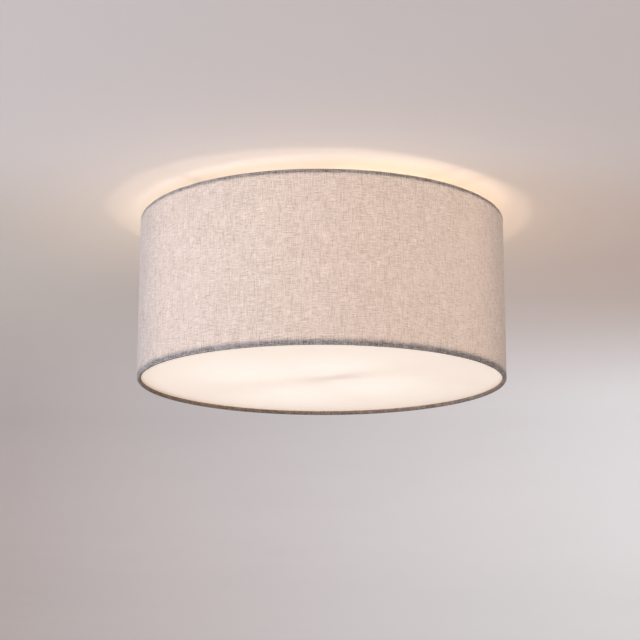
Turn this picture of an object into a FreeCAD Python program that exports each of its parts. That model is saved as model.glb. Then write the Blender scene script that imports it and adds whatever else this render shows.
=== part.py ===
"""Flush mount ceiling light: a fabric drum shade with a drop-in diffuser and two screw-in bulbs.

Row frame, millimetres: the origin is where the light meets the ceiling, on the middle of the bracket's top
face, and +Z points up, so the whole light hangs below z = 0. The front of the light looks along -Y. The two
bulbs lie flat on one diagonal, at lamp_azimuth, and the four arms that carry the shade lie on both diagonals.
"""

import FreeCAD, Part

import math
import os
import re

import Sketcher

V = FreeCAD.Vector

# ---------------------------------------------------------------- driving dimensions, millimetres and degrees
SIZES = {
    # shade: laminated fabric drum on two wire hoops
    "shade_diameter": 400,
    "shade_height": 180,
    "ceiling_gap": 10,
    "fabric_thickness": 0.5,
    "liner_thickness": 0.3,
    "hoop_wire": 3,
    "top_hem_depth": 7,
    "bottom_hem_depth": 8.5,
    "seam_width": 14,
    "seam_thickness": 0.5,
    "seam_azimuth": 90,
    # diffuser: flat opal disc that lies on the lower hem
    "diffuser_thickness": 1.5,
    "diffuser_edge_gap": 0.7,
    "seat_gap": 0.2,
    # ceiling bracket and its two studs
    "bracket_length": 100,
    "bracket_width": 22,
    "bracket_thickness": 2,
    "slot_spacing": 50,
    "slot_length": 12,
    "slot_width": 5,
    "cable_hole": 12,
    "stud_diameter": 4,
    "stud_offset": 42,
    "stud_collar_diameter": 7,
    "stud_collar_height": 1,
    "stud_tail": 6.6,
    "stud_point_depth": 0.5,
    "stud_point_length": 1,
    # canopy: pressed steel cup round the bracket
    "canopy_diameter": 120,
    "canopy_depth": 25,
    "canopy_wall": 1,
    "canopy_corner": 6,
    "hole_clearance": 0.4,
    # knurled nuts under the canopy
    "washer_diameter": 9,
    "washer_thickness": 0.8,
    "face_gap": 0.05,
    "thread_clearance": 0.1,
    "knurled_nut_diameter": 11,
    "knurled_nut_height": 8,
    "knurled_nut_crown": 2,
    "knurled_nut_floor": 1,
    "knurl_depth": 0.4,
    "knurl_count": 20,
    # threaded tube and its nuts
    "stem_diameter": 10,
    "stem_bore": 7,
    "stem_stand": 1.5,
    "nut_width": 14,
    "nut_height": 3.5,
    "lock_washer_diameter": 16,
    "lock_washer_thickness": 1,
    "bushing_flange": 1.5,
    "bushing_bore": 6.2,
    "bushing_depth": 5,
    # shade carrier: plate, four cranked arms
    "plate_diameter": 36,
    "plate_thickness": 2,
    "arm_wire": 3.5,
    "arm_inner_radius": 10,
    "crank_inner_radius": 72,
    "crank_outer_radius": 100,
    "crank_bend": 14,
    "arm_azimuth": 45,
    "slit_clearance": 0.3,
    # lamp hub
    "lamp_drop": 87,
    "lamp_azimuth": 45,
    "hub_width": 38,
    "hub_height": 30,
    "hub_wall": 1.5,
    "hub_corner": 5,
    "hub_lip": 4,
    "strap_width": 16,
    "strap_span": 24,
    "strap_thickness": 1.5,
    "strap_height": 22,
    "cover_screw": 3,
    "cover_screw_head": 6,
    "cover_screw_head_height": 2.2,
    # lampholders, lengths along the lamp axis from the hub's face
    "nipple_outside": 6,
    "holder_diameter": 38,
    "holder_neck": 22,
    "holder_neck_length": 4,
    "holder_dome_length": 15,
    "holder_dome_end": 6,
    "holder_wall": 1.8,
    "holder_boss": 6.5,
    "skirt_length": 37,
    "skirt_mouth": 34,
    "skirt_bore": 29,
    "base_thickness": 4,
    "base_clearance": 0.1,
    "shell_bore": 26.8,
    "shell_thickness": 0.5,
    "shell_length": 24,
    "tongue_width": 6,
    "tongue_thickness": 0.5,
    "tongue_rise": 1.8,
    "tongue_reach": 9,
    # bulbs with an E27 cap
    "contact_gap": 0.3,
    "eyelet_diameter": 9,
    "eyelet_height": 1.2,
    "insulator_diameter": 19,
    "insulator_height": 2.6,
    "cap_crest": 26.1,
    "cap_root": 24.3,
    "cap_wall": 0.6,
    "cap_length": 23.2,
    "thread_pitch": 3.629,
    "thread_turns": 5,
    "bulb_length": 108,
    "globe_diameter": 60,
    "globe_wall": 1.5,
    "housing_length": 34,
    "housing_wall": 2,
    "housing_flare": 70,
    # terminal block and earth point
    "block_length": 34,
    "block_width": 18,
    "block_height": 13,
    "block_offset": 30,
    "pole_pitch": 10,
    "insert_diameter": 5,
    "insert_length": 16,
    "terminal_screw": 3,
    "terminal_screw_spacing": 9,
    "earth_screw": 4,
    "earth_screw_head": 7,
    "earth_screw_head_height": 2.6,
    "earth_lug_diameter": 9,
    "earth_lug_thickness": 0.8,
    "earth_offset_x": -34,
    "earth_offset_y": 14,
    # leads
    "lead_diameter": 1.9,
    "lead_gap": 0.08,
    "lead_bend": 5,
    "lead_pair_pitch": 2.2,
}

ALIAS = re.compile(r"[a-z][a-z0-9_]*")

ARM_COUNT = 4

# a lead's route is set out in wire widths: its straight run out of the terminal, its height over the bushing,
# the step from one layer of leads to the next, its straight run over the bushing, and the earth lead's drop
EXIT_RUN = 2.2
CREST_RISE = 1.8
LAYER_RISE = 1.1
CREST_RUN = 3.2
EARTH_DROP = 2

# a bend is drawn where a wire turns by more than this angle in radians, and takes up to this share of a run
STRAIGHT_ANGLE = 1e-4
BEND_SHARE = 0.45
# the share by which a wire's volume may differ from its length times its section
VOLUME_SLACK = 0.02


def bound(text):
    """The same expression with each driving dimension read from the spreadsheet."""
    return ALIAS.sub(lambda m: "Sizes." + m.group() if m.group() in SIZES else m.group(), text)


doc = FreeCAD.newDocument("ceiling_light")
sheet = doc.addObject("Spreadsheet::Sheet", "Sizes")
for row, (alias, number) in enumerate(SIZES.items(), start=1):
    sheet.set(f"A{row}", alias)
    sheet.set(f"B{row}", str(number))
    sheet.setAlias(f"B{row}", alias)
doc.recompute()

subparts = []


def value(text):
    """The number that an expression over the driving dimensions gives now."""
    result = sheet.evalExpression(bound(text))
    return float(getattr(result, "Value", result))


# ---------------------------------------------------------------- heights and radii that several pieces share
LINER_INNER = "(shade_diameter / 2 - fabric_thickness - liner_thickness)"
FABRIC_INNER = "(shade_diameter / 2 - fabric_thickness)"
HOOP_RADIUS = f"({LINER_INNER} - hoop_wire / 2)"
BEAD_OUTER = "(hoop_wire / 2 + liner_thickness + fabric_thickness)"
BEAD_INNER = "(hoop_wire / 2 + liner_thickness)"
RIM_TOP = "(-ceiling_gap)"
RIM_LOW = "(-ceiling_gap - shade_height)"
TOP_HOOP_Z = f"({RIM_TOP} - {BEAD_OUTER})"
LOW_HOOP_Z = f"({RIM_LOW} + {BEAD_OUTER})"
FLAP_INNER = f"({LINER_INNER} - fabric_thickness)"
DIFFUSER_Z = f"({LOW_HOOP_Z} + {BEAD_OUTER} + seat_gap)"
CANOPY_FLOOR = "(-canopy_depth + canopy_wall)"
CANOPY_UNDER = "(-canopy_depth)"
STEM_TOP = f"({CANOPY_FLOOR} + lock_washer_thickness + nut_height + stem_stand)"
PLATE_UNDER = f"({CANOPY_UNDER} - plate_thickness)"
ARM_LOW_Z = f"({PLATE_UNDER} - arm_wire / 2)"
HUB_TOP = "(-lamp_drop + hub_height / 2)"
HUB_LOW = "(-lamp_drop - hub_height / 2)"
STRAP_TOP = f"({HUB_TOP} - hub_wall)"
STEM_LOW = f"({STRAP_TOP} - strap_thickness - nut_height - stem_stand)"
HUB_FACE = "(hub_width / 2)"
DOME_END = f"({HUB_FACE} + holder_neck_length + holder_dome_length)"
SKIRT_START = f"({DOME_END} + holder_dome_end)"
SKIRT_END = f"({SKIRT_START} + skirt_length)"
BASE_FACE = f"({SKIRT_START} + base_thickness)"
CONTACT = f"({BASE_FACE} + tongue_rise + tongue_thickness + contact_gap)"
THREAD_START = f"({CONTACT} + eyelet_height + insulator_height + thread_pitch / 4)"
CAP_END = f"({CONTACT} + eyelet_height + cap_length)"
GLOBE_CENTRE = f"({CONTACT} + bulb_length - globe_diameter / 2)"
GLOBE_START = f"({CAP_END} + housing_length)"
GLOBE_MOUTH = f"sqrt((globe_diameter / 2)^2 - ({GLOBE_CENTRE} - {GLOBE_START})^2)"
# a piece drawn about its own Z axis, turned to lie along one end of the lamp axis
ALONG_LAMP = {
    "a": "placement(vector(0; 0; -lamp_drop); rotationz(lamp_azimuth) * rotationy(90))",
    "b": "placement(vector(0; 0; -lamp_drop); rotationz(lamp_azimuth + 180) * rotationy(90))",
}
ACROSS_LAMP = "placement(vector(0; 0; 0); rotationz(lamp_azimuth))"
SIDES = {"left": "-", "right": ""}


# ---------------------------------------------------------------- how pieces are drawn
def keep(feature, label):
    """Names a finished sub-part and lists it for export."""
    feature.Label = label
    subparts.append(feature)
    return feature


def new_body(name):
    return doc.addObject("PartDesign::Body", name)


def new_sketch(body, plane, offset=None):
    """A sketch on one of the body's own origin planes, moved along its normal by an expression."""
    sketch = body.newObject("Sketcher::SketchObject", body.Name + "_sketch")
    support = [f for f in body.Origin.OriginFeatures if f.Role == plane][0]
    sketch.AttachmentSupport = (support, [""])
    sketch.MapMode = "FlatFace"
    if offset:
        sketch.setExpression("AttachmentOffset.Base.z", bound(offset))
    return sketch


def bind(sketch, constraint, text):
    """Adds a constraint whose size follows an expression."""
    index = sketch.addConstraint(constraint)
    sketch.setExpression(f"Constraints[{index}]", bound(text))


def draw_outline(sketch, outline, closed=True):
    """Draws lines and arcs through points whose coordinates are expressions.

    A point is (x, y), or (x, y, radius, turn) where an arc of that radius runs to the next point, with its
    centre on the left for a turn of 1 and on the right for -1.
    """
    first = sketch.GeometryCount
    where = [V(value(p[0]), value(p[1]), 0) for p in outline]
    count = len(outline) if closed else len(outline) - 1
    ends = []
    for i in range(count):
        start, end = where[i], where[(i + 1) % len(where)]
        if len(outline[i]) == 2:
            sketch.addGeometry(Part.LineSegment(start, end))
            ends.append((1, 2))
            continue
        radius, turn = value(outline[i][2]), outline[i][3]
        chord = end - start
        rise = math.sqrt(max(radius**2 - (chord.Length / 2) ** 2, 0))
        middle = (start + end) / 2 + V(-chord.y, chord.x, 0) * (turn * rise / chord.Length)
        low, high = (start, end) if turn > 0 else (end, start)
        angles = [math.atan2(q.y - middle.y, q.x - middle.x) for q in (low, high)]
        sketch.addGeometry(Part.ArcOfCircle(Part.Circle(middle, V(0, 0, 1), radius), *angles))
        ends.append((1, 2) if turn > 0 else (2, 1))
    for i in range(count if closed else count - 1):
        j = (i + 1) % count
        sketch.addConstraint(Sketcher.Constraint("Coincident", first + i, ends[i][1], first + j, ends[j][0]))
    for i, point in enumerate(outline):
        line, end = (i, ends[i][0]) if i < count else (count - 1, ends[count - 1][1])
        x, y = where[i].x, where[i].y
        bind(sketch, Sketcher.Constraint("DistanceX", -1, 1, first + line, end, x), point[0])
        bind(sketch, Sketcher.Constraint("DistanceY", -1, 1, first + line, end, y), point[1])
        if len(point) > 2:
            bind(sketch, Sketcher.Constraint("Radius", first + i, value(point[2])), point[2])


def draw_circle(sketch, x, y, diameter):
    """Draws a circle whose centre and diameter are expressions."""
    index = sketch.addGeometry(Part.Circle(V(value(x), value(y), 0), V(0, 0, 1), value(diameter) / 2))
    bind(sketch, Sketcher.Constraint("DistanceX", -1, 1, index, 3, value(x)), x)
    bind(sketch, Sketcher.Constraint("DistanceY", -1, 1, index, 3, value(y)), y)
    bind(sketch, Sketcher.Constraint("Diameter", index, value(diameter)), diameter)


def box_outline(low_x, high_x, low_y, high_y):
    return [(low_x, low_y), (high_x, low_y), (high_x, high_y), (low_x, high_y)]


def centred_box(width, height):
    return box_outline(f"-({width}) / 2", f"({width}) / 2", f"-({height}) / 2", f"({height}) / 2")


def rounded_box(width, corner):
    """A square outline of that width with round corners."""
    half, flat = f"({width}) / 2", f"(({width}) / 2 - ({corner}))"
    return [
        (f"-{flat}", f"-{half}"), (flat, f"-{half}", corner, 1),
        (half, f"-{flat}"), (half, flat, corner, 1),
        (flat, half), (f"-{flat}", half, corner, 1),
        (f"-{half}", flat), (f"-{half}", f"-{flat}", corner, 1),
    ]


def revolve(name, outline, placement=None):
    """A body turned about its Z axis; the outline's points are (radius, height)."""
    body = new_body(name)
    sketch = new_sketch(body, "XZ_Plane")
    draw_outline(sketch, outline)
    turned = body.newObject("PartDesign::Revolution", name + "_turned")
    turned.Profile = sketch
    turned.ReferenceAxis = (sketch, ["V_Axis"])
    turned.Angle = 360
    if placement:
        body.setExpression("Placement", bound(placement))
    return body


def pad(name, outline, length, plane="XY_Plane", offset=None, circles=(), middle=False, placement=None):
    """A body of one outline, with round holes in it, padded along the plane's normal."""
    body = new_body(name)
    sketch = new_sketch(body, plane, offset)
    if outline:
        draw_outline(sketch, outline)
    for circle in circles:
        draw_circle(sketch, *circle)
    block = body.newObject("PartDesign::Pad", name + "_pad")
    block.Profile = sketch
    block.Midplane = middle
    block.setExpression("Length", bound(length))
    if placement:
        body.setExpression("Placement", bound(placement))
    return body


def cut_through(body, circles=(), outlines=(), plane="XY_Plane"):
    """Pockets through the whole body, both ways from one of its origin planes."""
    doc.recompute()
    before = body.Shape.Volume
    sketch = new_sketch(body, plane)
    for outline in outlines:
        draw_outline(sketch, outline)
    for circle in circles:
        draw_circle(sketch, *circle)
    pocket = body.newObject("PartDesign::Pocket", body.Name + "_cut")
    pocket.Profile = sketch
    pocket.Type = "ThroughAll"
    pocket.Midplane = True
    doc.recompute()
    if body.Shape.Volume >= before:
        raise RuntimeError(f"the pocket in {body.Name} cut nothing")
    return body


def primitive(kind, name, sizes, placement=None):
    """A Part primitive whose properties follow expressions."""
    solid = doc.addObject(kind, name)
    for key, text in sizes.items():
        solid.setExpression(key, bound(text))
    if placement:
        solid.setExpression("Placement", bound(placement))
    return solid


def cut(name, base, tool):
    result = doc.addObject("Part::Cut", name)
    result.Base, result.Tool = base, tool
    return result


def group(name, members):
    """Separate solids that share one node."""
    result = doc.addObject("Part::Compound", name)
    result.Links = members
    return result


def hex_nut(name, placement):
    """A thin hexagon nut for the threaded tube, standing on its placement's XY plane."""
    blank = primitive(
        "Part::Prism", name + "_blank",
        {"Circumradius": "nut_width / 2 / cos(30)", "Height": "nut_height"}, placement,
    )
    bore = primitive(
        "Part::Cylinder", name + "_bore", {"Radius": "stem_diameter / 2", "Height": "nut_height"}, placement
    )
    return cut(name, blank, bore)


def at_height(z):
    return f"placement(vector(0; 0; {z}); rotationz(0))"


def at_point(x, y, z):
    return f"placement(vector({x}; {y}; {z}); rotationz(0))"


def rod(points, diameter, bend):
    """A round wire along straight runs joined by tangent arcs."""
    edges, last = [], points[0]
    for before, corner, after in zip(points, points[1:], points[2:]):
        into, out = (corner - before).normalize(), (after - corner).normalize()
        turn = into.getAngle(out)
        if turn < STRAIGHT_ANGLE:
            continue
        shorter = min((corner - before).Length, (after - corner).Length)
        radius = min(bend, BEND_SHARE * shorter / math.tan(turn / 2))
        back = radius * math.tan(turn / 2)
        start, end = corner - into * back, corner + out * back
        inward = (out - into).normalize()
        middle = corner + inward * (radius / math.cos(turn / 2) - radius)
        edges += [Part.LineSegment(last, start).toShape(), Part.Arc(start, middle, end).toShape()]
        last = end
    edges.append(Part.LineSegment(last, points[-1]).toShape())
    path = Part.Wire(edges)
    section = Part.Wire(Part.Circle(points[0], points[1] - points[0], diameter / 2).toShape())
    solid = path.makePipeShell([section], True, True)
    length = sum(edge.Length for edge in edges)
    expected = math.pi * diameter**2 / 4 * length
    if abs(solid.Volume - expected) > VOLUME_SLACK * expected:
        raise RuntimeError(f"a wire of {length:.1f} mm has the wrong volume")
    return solid


# ---------------------------------------------------------------- shade
def hem(depth, hoop_z, away):
    """A hem's outline from wall to wall round its hoop; away is -1 for the lower hem and 1 for the top."""
    def level(rise):
        return f"({hoop_z} - ({away}) * ({rise}))"

    flap_lift = f"sqrt({BEAD_OUTER}^2 - ({FLAP_INNER} - {HOOP_RADIUS})^2)"
    inner_lift = f"sqrt({BEAD_INNER}^2 - (hoop_wire / 2)^2)"
    turn = -1 if away < 0 else 1
    flap_end = level(f"{depth} - {BEAD_OUTER}")
    return [
        ("shade_diameter / 2", level("0"), BEAD_OUTER, turn),
        (HOOP_RADIUS, level(f"-{BEAD_OUTER}"), BEAD_OUTER, turn),
        (f"({HOOP_RADIUS} - {BEAD_OUTER})", level("0"), BEAD_OUTER, turn),
        (HOOP_RADIUS, level(BEAD_OUTER), BEAD_OUTER, turn),
        (FLAP_INNER, level(flap_lift)),
        (FLAP_INNER, flap_end),
        (LINER_INNER, flap_end),
        (LINER_INNER, level(inner_lift), BEAD_INNER, -turn),
        (HOOP_RADIUS, level(BEAD_INNER), BEAD_INNER, -turn),
        (f"({HOOP_RADIUS} - {BEAD_INNER})", level("0"), BEAD_INNER, -turn),
        (HOOP_RADIUS, level(f"-{BEAD_INNER}"), BEAD_INNER, -turn),
        (FABRIC_INNER, level("0")),
    ]


def make_shade():
    """Fabric turned round both hoops, stiff liner, hoops, lap seam and the diffuser on the lower hem."""
    lower = hem("bottom_hem_depth", LOW_HOOP_Z, -1)
    upper = hem("top_hem_depth", TOP_HOOP_Z, 1)
    # the upper hem is walked backwards, so each arc is named by the point that it now starts from
    points = [(p[0], p[1]) for p in upper][::-1]
    arcs = [p[2:] for p in upper][::-1][1:] + [()]
    reversed_upper = [p + ((a[0], -a[1]) if a else ()) for p, a in zip(points, arcs)]
    sleeve = revolve("fabric_sleeve", lower + reversed_upper)
    slits = []
    reach = f"({HOOP_RADIUS} - hoop_wire / 2)"
    for i in range(ARM_COUNT // 2):
        turn = 360 // ARM_COUNT * i
        slits.append(
            primitive(
                "Part::Cylinder", f"arm_slit_{i}",
                {"Radius": "arm_wire / 2 + slit_clearance", "Height": f"2 * {reach}"},
                f"placement(vector(0; 0; {TOP_HOOP_Z}); rotationz(arm_azimuth + {turn}) * rotationy(90))"
                f" * placement(vector(0; 0; -{reach}); rotationz(0))",
            )
        )
    cross = doc.addObject("Part::Fuse", "arm_slits")
    cross.Base, cross.Tool = slits
    keep(cut("fabric_cut", sleeve, cross), "shade_fabric")
    liner = box_outline(LINER_INNER, FABRIC_INNER, LOW_HOOP_Z, TOP_HOOP_Z)
    keep(revolve("liner", liner), "shade_liner")
    for label, z in (("top_hoop", TOP_HOOP_Z), ("bottom_hoop", LOW_HOOP_Z)):
        sizes = {"Radius1": HOOP_RADIUS, "Radius2": "hoop_wire / 2"}
        hoop = primitive("Part::Torus", label + "_wire", sizes, at_height(z))
        keep(hoop, label)
    make_seam()
    disc = primitive(
        "Part::Cylinder", "diffuser_disc",
        {"Radius": f"{FLAP_INNER} - diffuser_edge_gap", "Height": "diffuser_thickness"},
        at_height(DIFFUSER_Z),
    )
    keep(disc, "diffuser")


def make_seam():
    """The overlap strip where the sheet's two ends are glued, on the outside of the drum."""
    strip = revolve(
        "seam_ring",
        box_outline("shade_diameter / 2", "shade_diameter / 2 + seam_thickness", LOW_HOOP_Z, TOP_HOOP_Z),
    )
    window = primitive(
        "Part::Box", "seam_window",
        {"Length": "shade_diameter", "Width": "seam_width", "Height": "shade_height"},
        f"placement(vector(0; 0; {RIM_LOW}); rotationz(seam_azimuth))"
        " * placement(vector(0; -seam_width / 2; 0); rotationz(0))",
    )
    lap = doc.addObject("Part::Common", "seam_lap")
    lap.Base, lap.Tool = strip, window
    keep(lap, "shade_seam")


def make_carrier():
    """The plate under the canopy and the four cranked arms that reach the top hoop."""
    plate_hole = "stem_diameter + hole_clearance"
    plate = pad(
        "carrier_plate", None, "plate_thickness", offset=PLATE_UNDER,
        circles=[("0", "0", "plate_diameter"), ("0", "0", plate_hole)],
    )
    keep(plate, "spider_plate")
    slope = f"atan(({TOP_HOOP_Z} - {ARM_LOW_Z}) / (crank_outer_radius - crank_inner_radius))"
    tangent = f"(crank_bend * tan({slope} / 2))"
    along, up = f"({tangent} * cos({slope}))", f"({tangent} * sin({slope}))"
    route = [
        ("arm_inner_radius", ARM_LOW_Z),
        (f"crank_inner_radius - {tangent}", ARM_LOW_Z, "crank_bend", 1),
        (f"crank_inner_radius + {along}", f"{ARM_LOW_Z} + {up}"),
        (f"crank_outer_radius - {along}", f"{TOP_HOOP_Z} - {up}", "crank_bend", -1),
        (f"crank_outer_radius + {tangent}", TOP_HOOP_Z),
        (f"{HOOP_RADIUS} - hoop_wire / 2", TOP_HOOP_Z),
    ]
    for i in range(ARM_COUNT):
        body = new_body(f"arm_{i}")
        path = new_sketch(body, "XZ_Plane")
        draw_outline(path, route, closed=False)
        section = new_sketch(body, "YZ_Plane", "arm_inner_radius")
        draw_circle(section, "0", ARM_LOW_Z, "arm_wire")
        pipe = body.newObject("PartDesign::AdditivePipe", f"arm_{i}_pipe")
        pipe.Profile = section
        pipe.Spine = (path, [])
        place = f"placement(vector(0; 0; 0); rotationz(arm_azimuth + {360 // ARM_COUNT * i}))"
        body.setExpression("Placement", bound(place))
        keep(body, f"spider_arm_{i + 1}")


# ---------------------------------------------------------------- ceiling bracket, canopy and nuts
def slot_outline(side):
    """A long hole with its middle half the slot spacing from the bracket's centre."""
    middle = f"({side}slot_spacing / 2)"
    flat, half = "((slot_length - slot_width) / 2)", "(slot_width / 2)"
    tip = f"({flat} + {half})"
    return [
        (f"{middle} - {flat}", f"-{half}"), (f"{middle} + {flat}", f"-{half}", half, 1),
        (f"{middle} + {tip}", "0", half, 1), (f"{middle} + {flat}", half),
        (f"{middle} - {flat}", half, half, 1), (f"{middle} - {tip}", "0", half, 1),
    ]


def make_bracket():
    """Steel crossbar with two slots for ceiling screws, and two studs pressed into it."""
    holes = [("0", "0", "cable_hole")]
    holes += [(f"{s}stud_offset", "0", "stud_diameter") for s in SIDES.values()]
    bar = pad(
        "crossbar", centred_box("bracket_length", "bracket_width"), "bracket_thickness",
        offset="-bracket_thickness", circles=holes,
    )
    cut_through(bar, outlines=[slot_outline(s) for s in SIDES.values()])
    keep(bar, "ceiling_bracket")
    shank = "stud_diameter / 2"
    foot = f"{CANOPY_UNDER} - stud_tail"
    collar = "stud_collar_diameter / 2"
    collar_low = "-bracket_thickness - stud_collar_height"
    profile = [
        ("0", "0"), ("0", foot), (f"{shank} - stud_point_depth", foot),
        (shank, f"{foot} + stud_point_length"), (shank, collar_low), (collar, collar_low),
        (collar, "-bracket_thickness"), (shank, "-bracket_thickness"), (shank, "0"),
    ]
    studs = []
    for side, sign in SIDES.items():
        studs.append(revolve(f"stud_{side}", profile, at_point(f"{sign}stud_offset", "0", "0")))
    keep(group("studs", studs), "bracket_studs")


def make_canopy():
    """Pressed cup that hides the wiring, with holes for the studs, the stem and the earth screw."""
    outer, inner = "(canopy_diameter / 2)", "(canopy_diameter / 2 - canopy_wall)"
    inner_corner = "(canopy_corner - canopy_wall)"
    hole = "((stem_diameter + hole_clearance) / 2)"
    cup = revolve(
        "cup",
        [
            (hole, CANOPY_UNDER), (f"{outer} - canopy_corner", CANOPY_UNDER, "canopy_corner", 1),
            (outer, f"{CANOPY_UNDER} + canopy_corner"), (outer, "0"), (inner, "0"),
            (inner, f"{CANOPY_FLOOR} + {inner_corner}", inner_corner, -1),
            (f"{inner} - {inner_corner}", CANOPY_FLOOR), (hole, CANOPY_FLOOR),
        ],
    )
    stud_hole = "stud_diameter + hole_clearance"
    circles = [(f"{s}stud_offset", "0", stud_hole) for s in SIDES.values()]
    circles.append(("earth_offset_x", "earth_offset_y", "earth_screw"))
    circles.append(("0", "block_offset", "terminal_screw"))
    cut_through(cup, circles=circles)
    keep(cup, "canopy")


def make_knurled_nuts():
    """A washer and a closed knurled nut on each stud, under the canopy."""
    washer_top = f"({CANOPY_UNDER} - face_gap)"
    washer_low = f"({washer_top} - washer_thickness)"
    bore = "(stud_diameter / 2 + thread_clearance)"
    outer = "(knurled_nut_diameter / 2)"
    nut_top = f"({washer_low} - face_gap)"
    nut_low = f"({nut_top} - knurled_nut_height)"
    shoulder = f"({nut_low} + knurled_nut_crown)"
    bore_end = f"({nut_low} + knurled_nut_floor)"
    for side, sign in SIDES.items():
        place = at_point(f"{sign}stud_offset", "0", "0")
        ring = box_outline(bore, "washer_diameter / 2", washer_low, washer_top)
        keep(revolve(f"washer_{side}", ring, place), f"stud_washer_{side}")
        nut = revolve(
            f"thumb_nut_{side}",
            [
                ("0", bore_end), ("0", nut_low),
                (f"{outer} - knurled_nut_crown", nut_low, "knurled_nut_crown", 1), (outer, shoulder),
                (outer, nut_top), (bore, nut_top), (bore, bore_end),
            ],
            place,
        )
        doc.recompute()
        sketch = new_sketch(nut, "XY_Plane", shoulder)
        draw_circle(sketch, outer, "0", "2 * knurl_depth")
        groove = nut.newObject("PartDesign::Pocket", f"knurl_{side}")
        groove.Profile = sketch
        groove.Type = "ThroughAll"
        groove.Reversed = True
        knurl = nut.newObject("PartDesign::PolarPattern", f"knurls_{side}")
        knurl.Originals = [groove]
        axis = [f for f in nut.Origin.OriginFeatures if f.Role == "Z_Axis"][0]
        knurl.Axis = (axis, [""])
        knurl.Angle = 360
        knurl.setExpression("Occurrences", bound("knurl_count"))
        nut.Tip = knurl
        keep(nut, f"knurled_nut_{side}")


# ---------------------------------------------------------------- stem, hub and nuts
def make_stem():
    """Threaded tube from the canopy to the hub, its four nuts, lock washer and cable bushing."""
    keep(
        pad(
            "stem", None, f"{STEM_TOP} - {STEM_LOW}", offset=STEM_LOW,
            circles=[("0", "0", "stem_diameter"), ("0", "0", "stem_bore")],
        ),
        "stem_tube",
    )
    feet = {
        "canopy_nut": f"{CANOPY_FLOOR} + lock_washer_thickness",
        "plate_nut": f"{PLATE_UNDER} - nut_height",
        "hub_nut": HUB_TOP,
        "strap_nut": f"{STRAP_TOP} - strap_thickness - nut_height",
    }
    keep(group("tube_nuts", [hex_nut(name, at_height(z)) for name, z in feet.items()]), "stem_nuts")
    washer_top = f"{CANOPY_FLOOR} + lock_washer_thickness"
    washer = box_outline("stem_diameter / 2", "lock_washer_diameter / 2", CANOPY_FLOOR, washer_top)
    keep(revolve("lock_ring", washer), "stem_lock_washer")
    flange, bore, sleeve = "(stem_diameter / 2)", "(bushing_bore / 2)", "(stem_bore / 2)"
    bushing = revolve(
        "bushing",
        [
            (bore, f"{STEM_TOP} - bushing_depth"), (sleeve, f"{STEM_TOP} - bushing_depth"),
            (sleeve, STEM_TOP), (flange, STEM_TOP), (flange, f"{STEM_TOP} + bushing_flange / 2"),
            (f"{flange} - bushing_flange / 2", f"{STEM_TOP} + bushing_flange"),
            (bore, f"{STEM_TOP} + bushing_flange"),
        ],
    )
    keep(bushing, "stem_bushing")


def make_hub():
    """Box that carries both lampholders, its cover, the strap inside it and the cover's screw."""
    hole = "stem_diameter + hole_clearance"
    square = rounded_box("hub_width", "hub_corner")
    box = pad("hub_box", square, "hub_height", offset=HUB_LOW, placement=ACROSS_LAMP)
    inside = new_sketch(box, "XY_Plane", HUB_LOW)
    draw_outline(inside, rounded_box("hub_width - 2 * hub_wall", "hub_corner - hub_wall"))
    hollow = box.newObject("PartDesign::Pocket", "hub_hollow")
    hollow.Profile = inside
    hollow.Reversed = True
    hollow.setExpression("Length", bound("hub_height - hub_wall"))
    cut_through(box, circles=[("0", "0", hole)])
    cut_through(box, circles=[("0", "-lamp_drop", hole)], plane="YZ_Plane")
    keep(box, "hub_body")

    cover = pad(
        "hub_lid", square, "hub_wall", offset=f"{HUB_LOW} - hub_wall",
        circles=[("0", "0", "cover_screw + hole_clearance")], placement=ACROSS_LAMP,
    )
    lip = new_sketch(cover, "XY_Plane", HUB_LOW)
    lip_width = "(hub_width - 2 * hub_wall - 2 * face_gap)"
    lip_corner = "(hub_corner - hub_wall)"
    draw_outline(lip, rounded_box(lip_width, lip_corner))
    draw_outline(lip, rounded_box(f"{lip_width} - 2 * hub_wall", f"{lip_corner} - hub_wall"))
    rim = cover.newObject("PartDesign::Pad", "hub_lid_lip")
    rim.Profile = lip
    rim.setExpression("Length", bound("hub_lip"))
    keep(cover, "hub_cover")

    half, inner = "(strap_span / 2)", "(strap_span / 2 - strap_thickness)"
    foot = f"({STRAP_TOP} - strap_height)"
    strap = pad(
        "u_strap", box_outline(f"-{half}", half, foot, STRAP_TOP), "strap_width",
        plane="YZ_Plane", middle=True, placement=ACROSS_LAMP,
    )
    window = box_outline(f"-{inner}", inner, f"{foot} + strap_thickness", f"{STRAP_TOP} - strap_thickness")
    cut_through(strap, outlines=[window], plane="YZ_Plane")
    doc.recompute()
    holes = new_sketch(strap, "XY_Plane", foot)
    draw_circle(holes, "0", "0", "cover_screw")
    lower = strap.newObject("PartDesign::Pocket", "strap_screw_hole")
    lower.Profile = holes
    lower.Reversed = True
    lower.setExpression("Length", bound("strap_thickness"))
    holes = new_sketch(strap, "XY_Plane", STRAP_TOP)
    draw_circle(holes, "0", "0", "stem_diameter")
    upper = strap.newObject("PartDesign::Pocket", "strap_stem_hole")
    upper.Profile = holes
    upper.setExpression("Length", bound("strap_thickness"))
    keep(strap, "hub_strap")

    head_z = f"({HUB_LOW} - hub_wall)"
    screw = revolve(
        "lid_screw",
        [
            ("0", f"{foot} + strap_thickness"), ("cover_screw / 2", f"{foot} + strap_thickness"),
            ("cover_screw / 2", head_z), ("cover_screw_head / 2", head_z),
            ("cover_screw_head / 2", f"{head_z} - cover_screw_head_height / 2", "cover_screw_head", -1),
            ("0", f"{head_z} - cover_screw_head_height"),
        ],
    )
    keep(screw, "hub_cover_screw")


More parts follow.
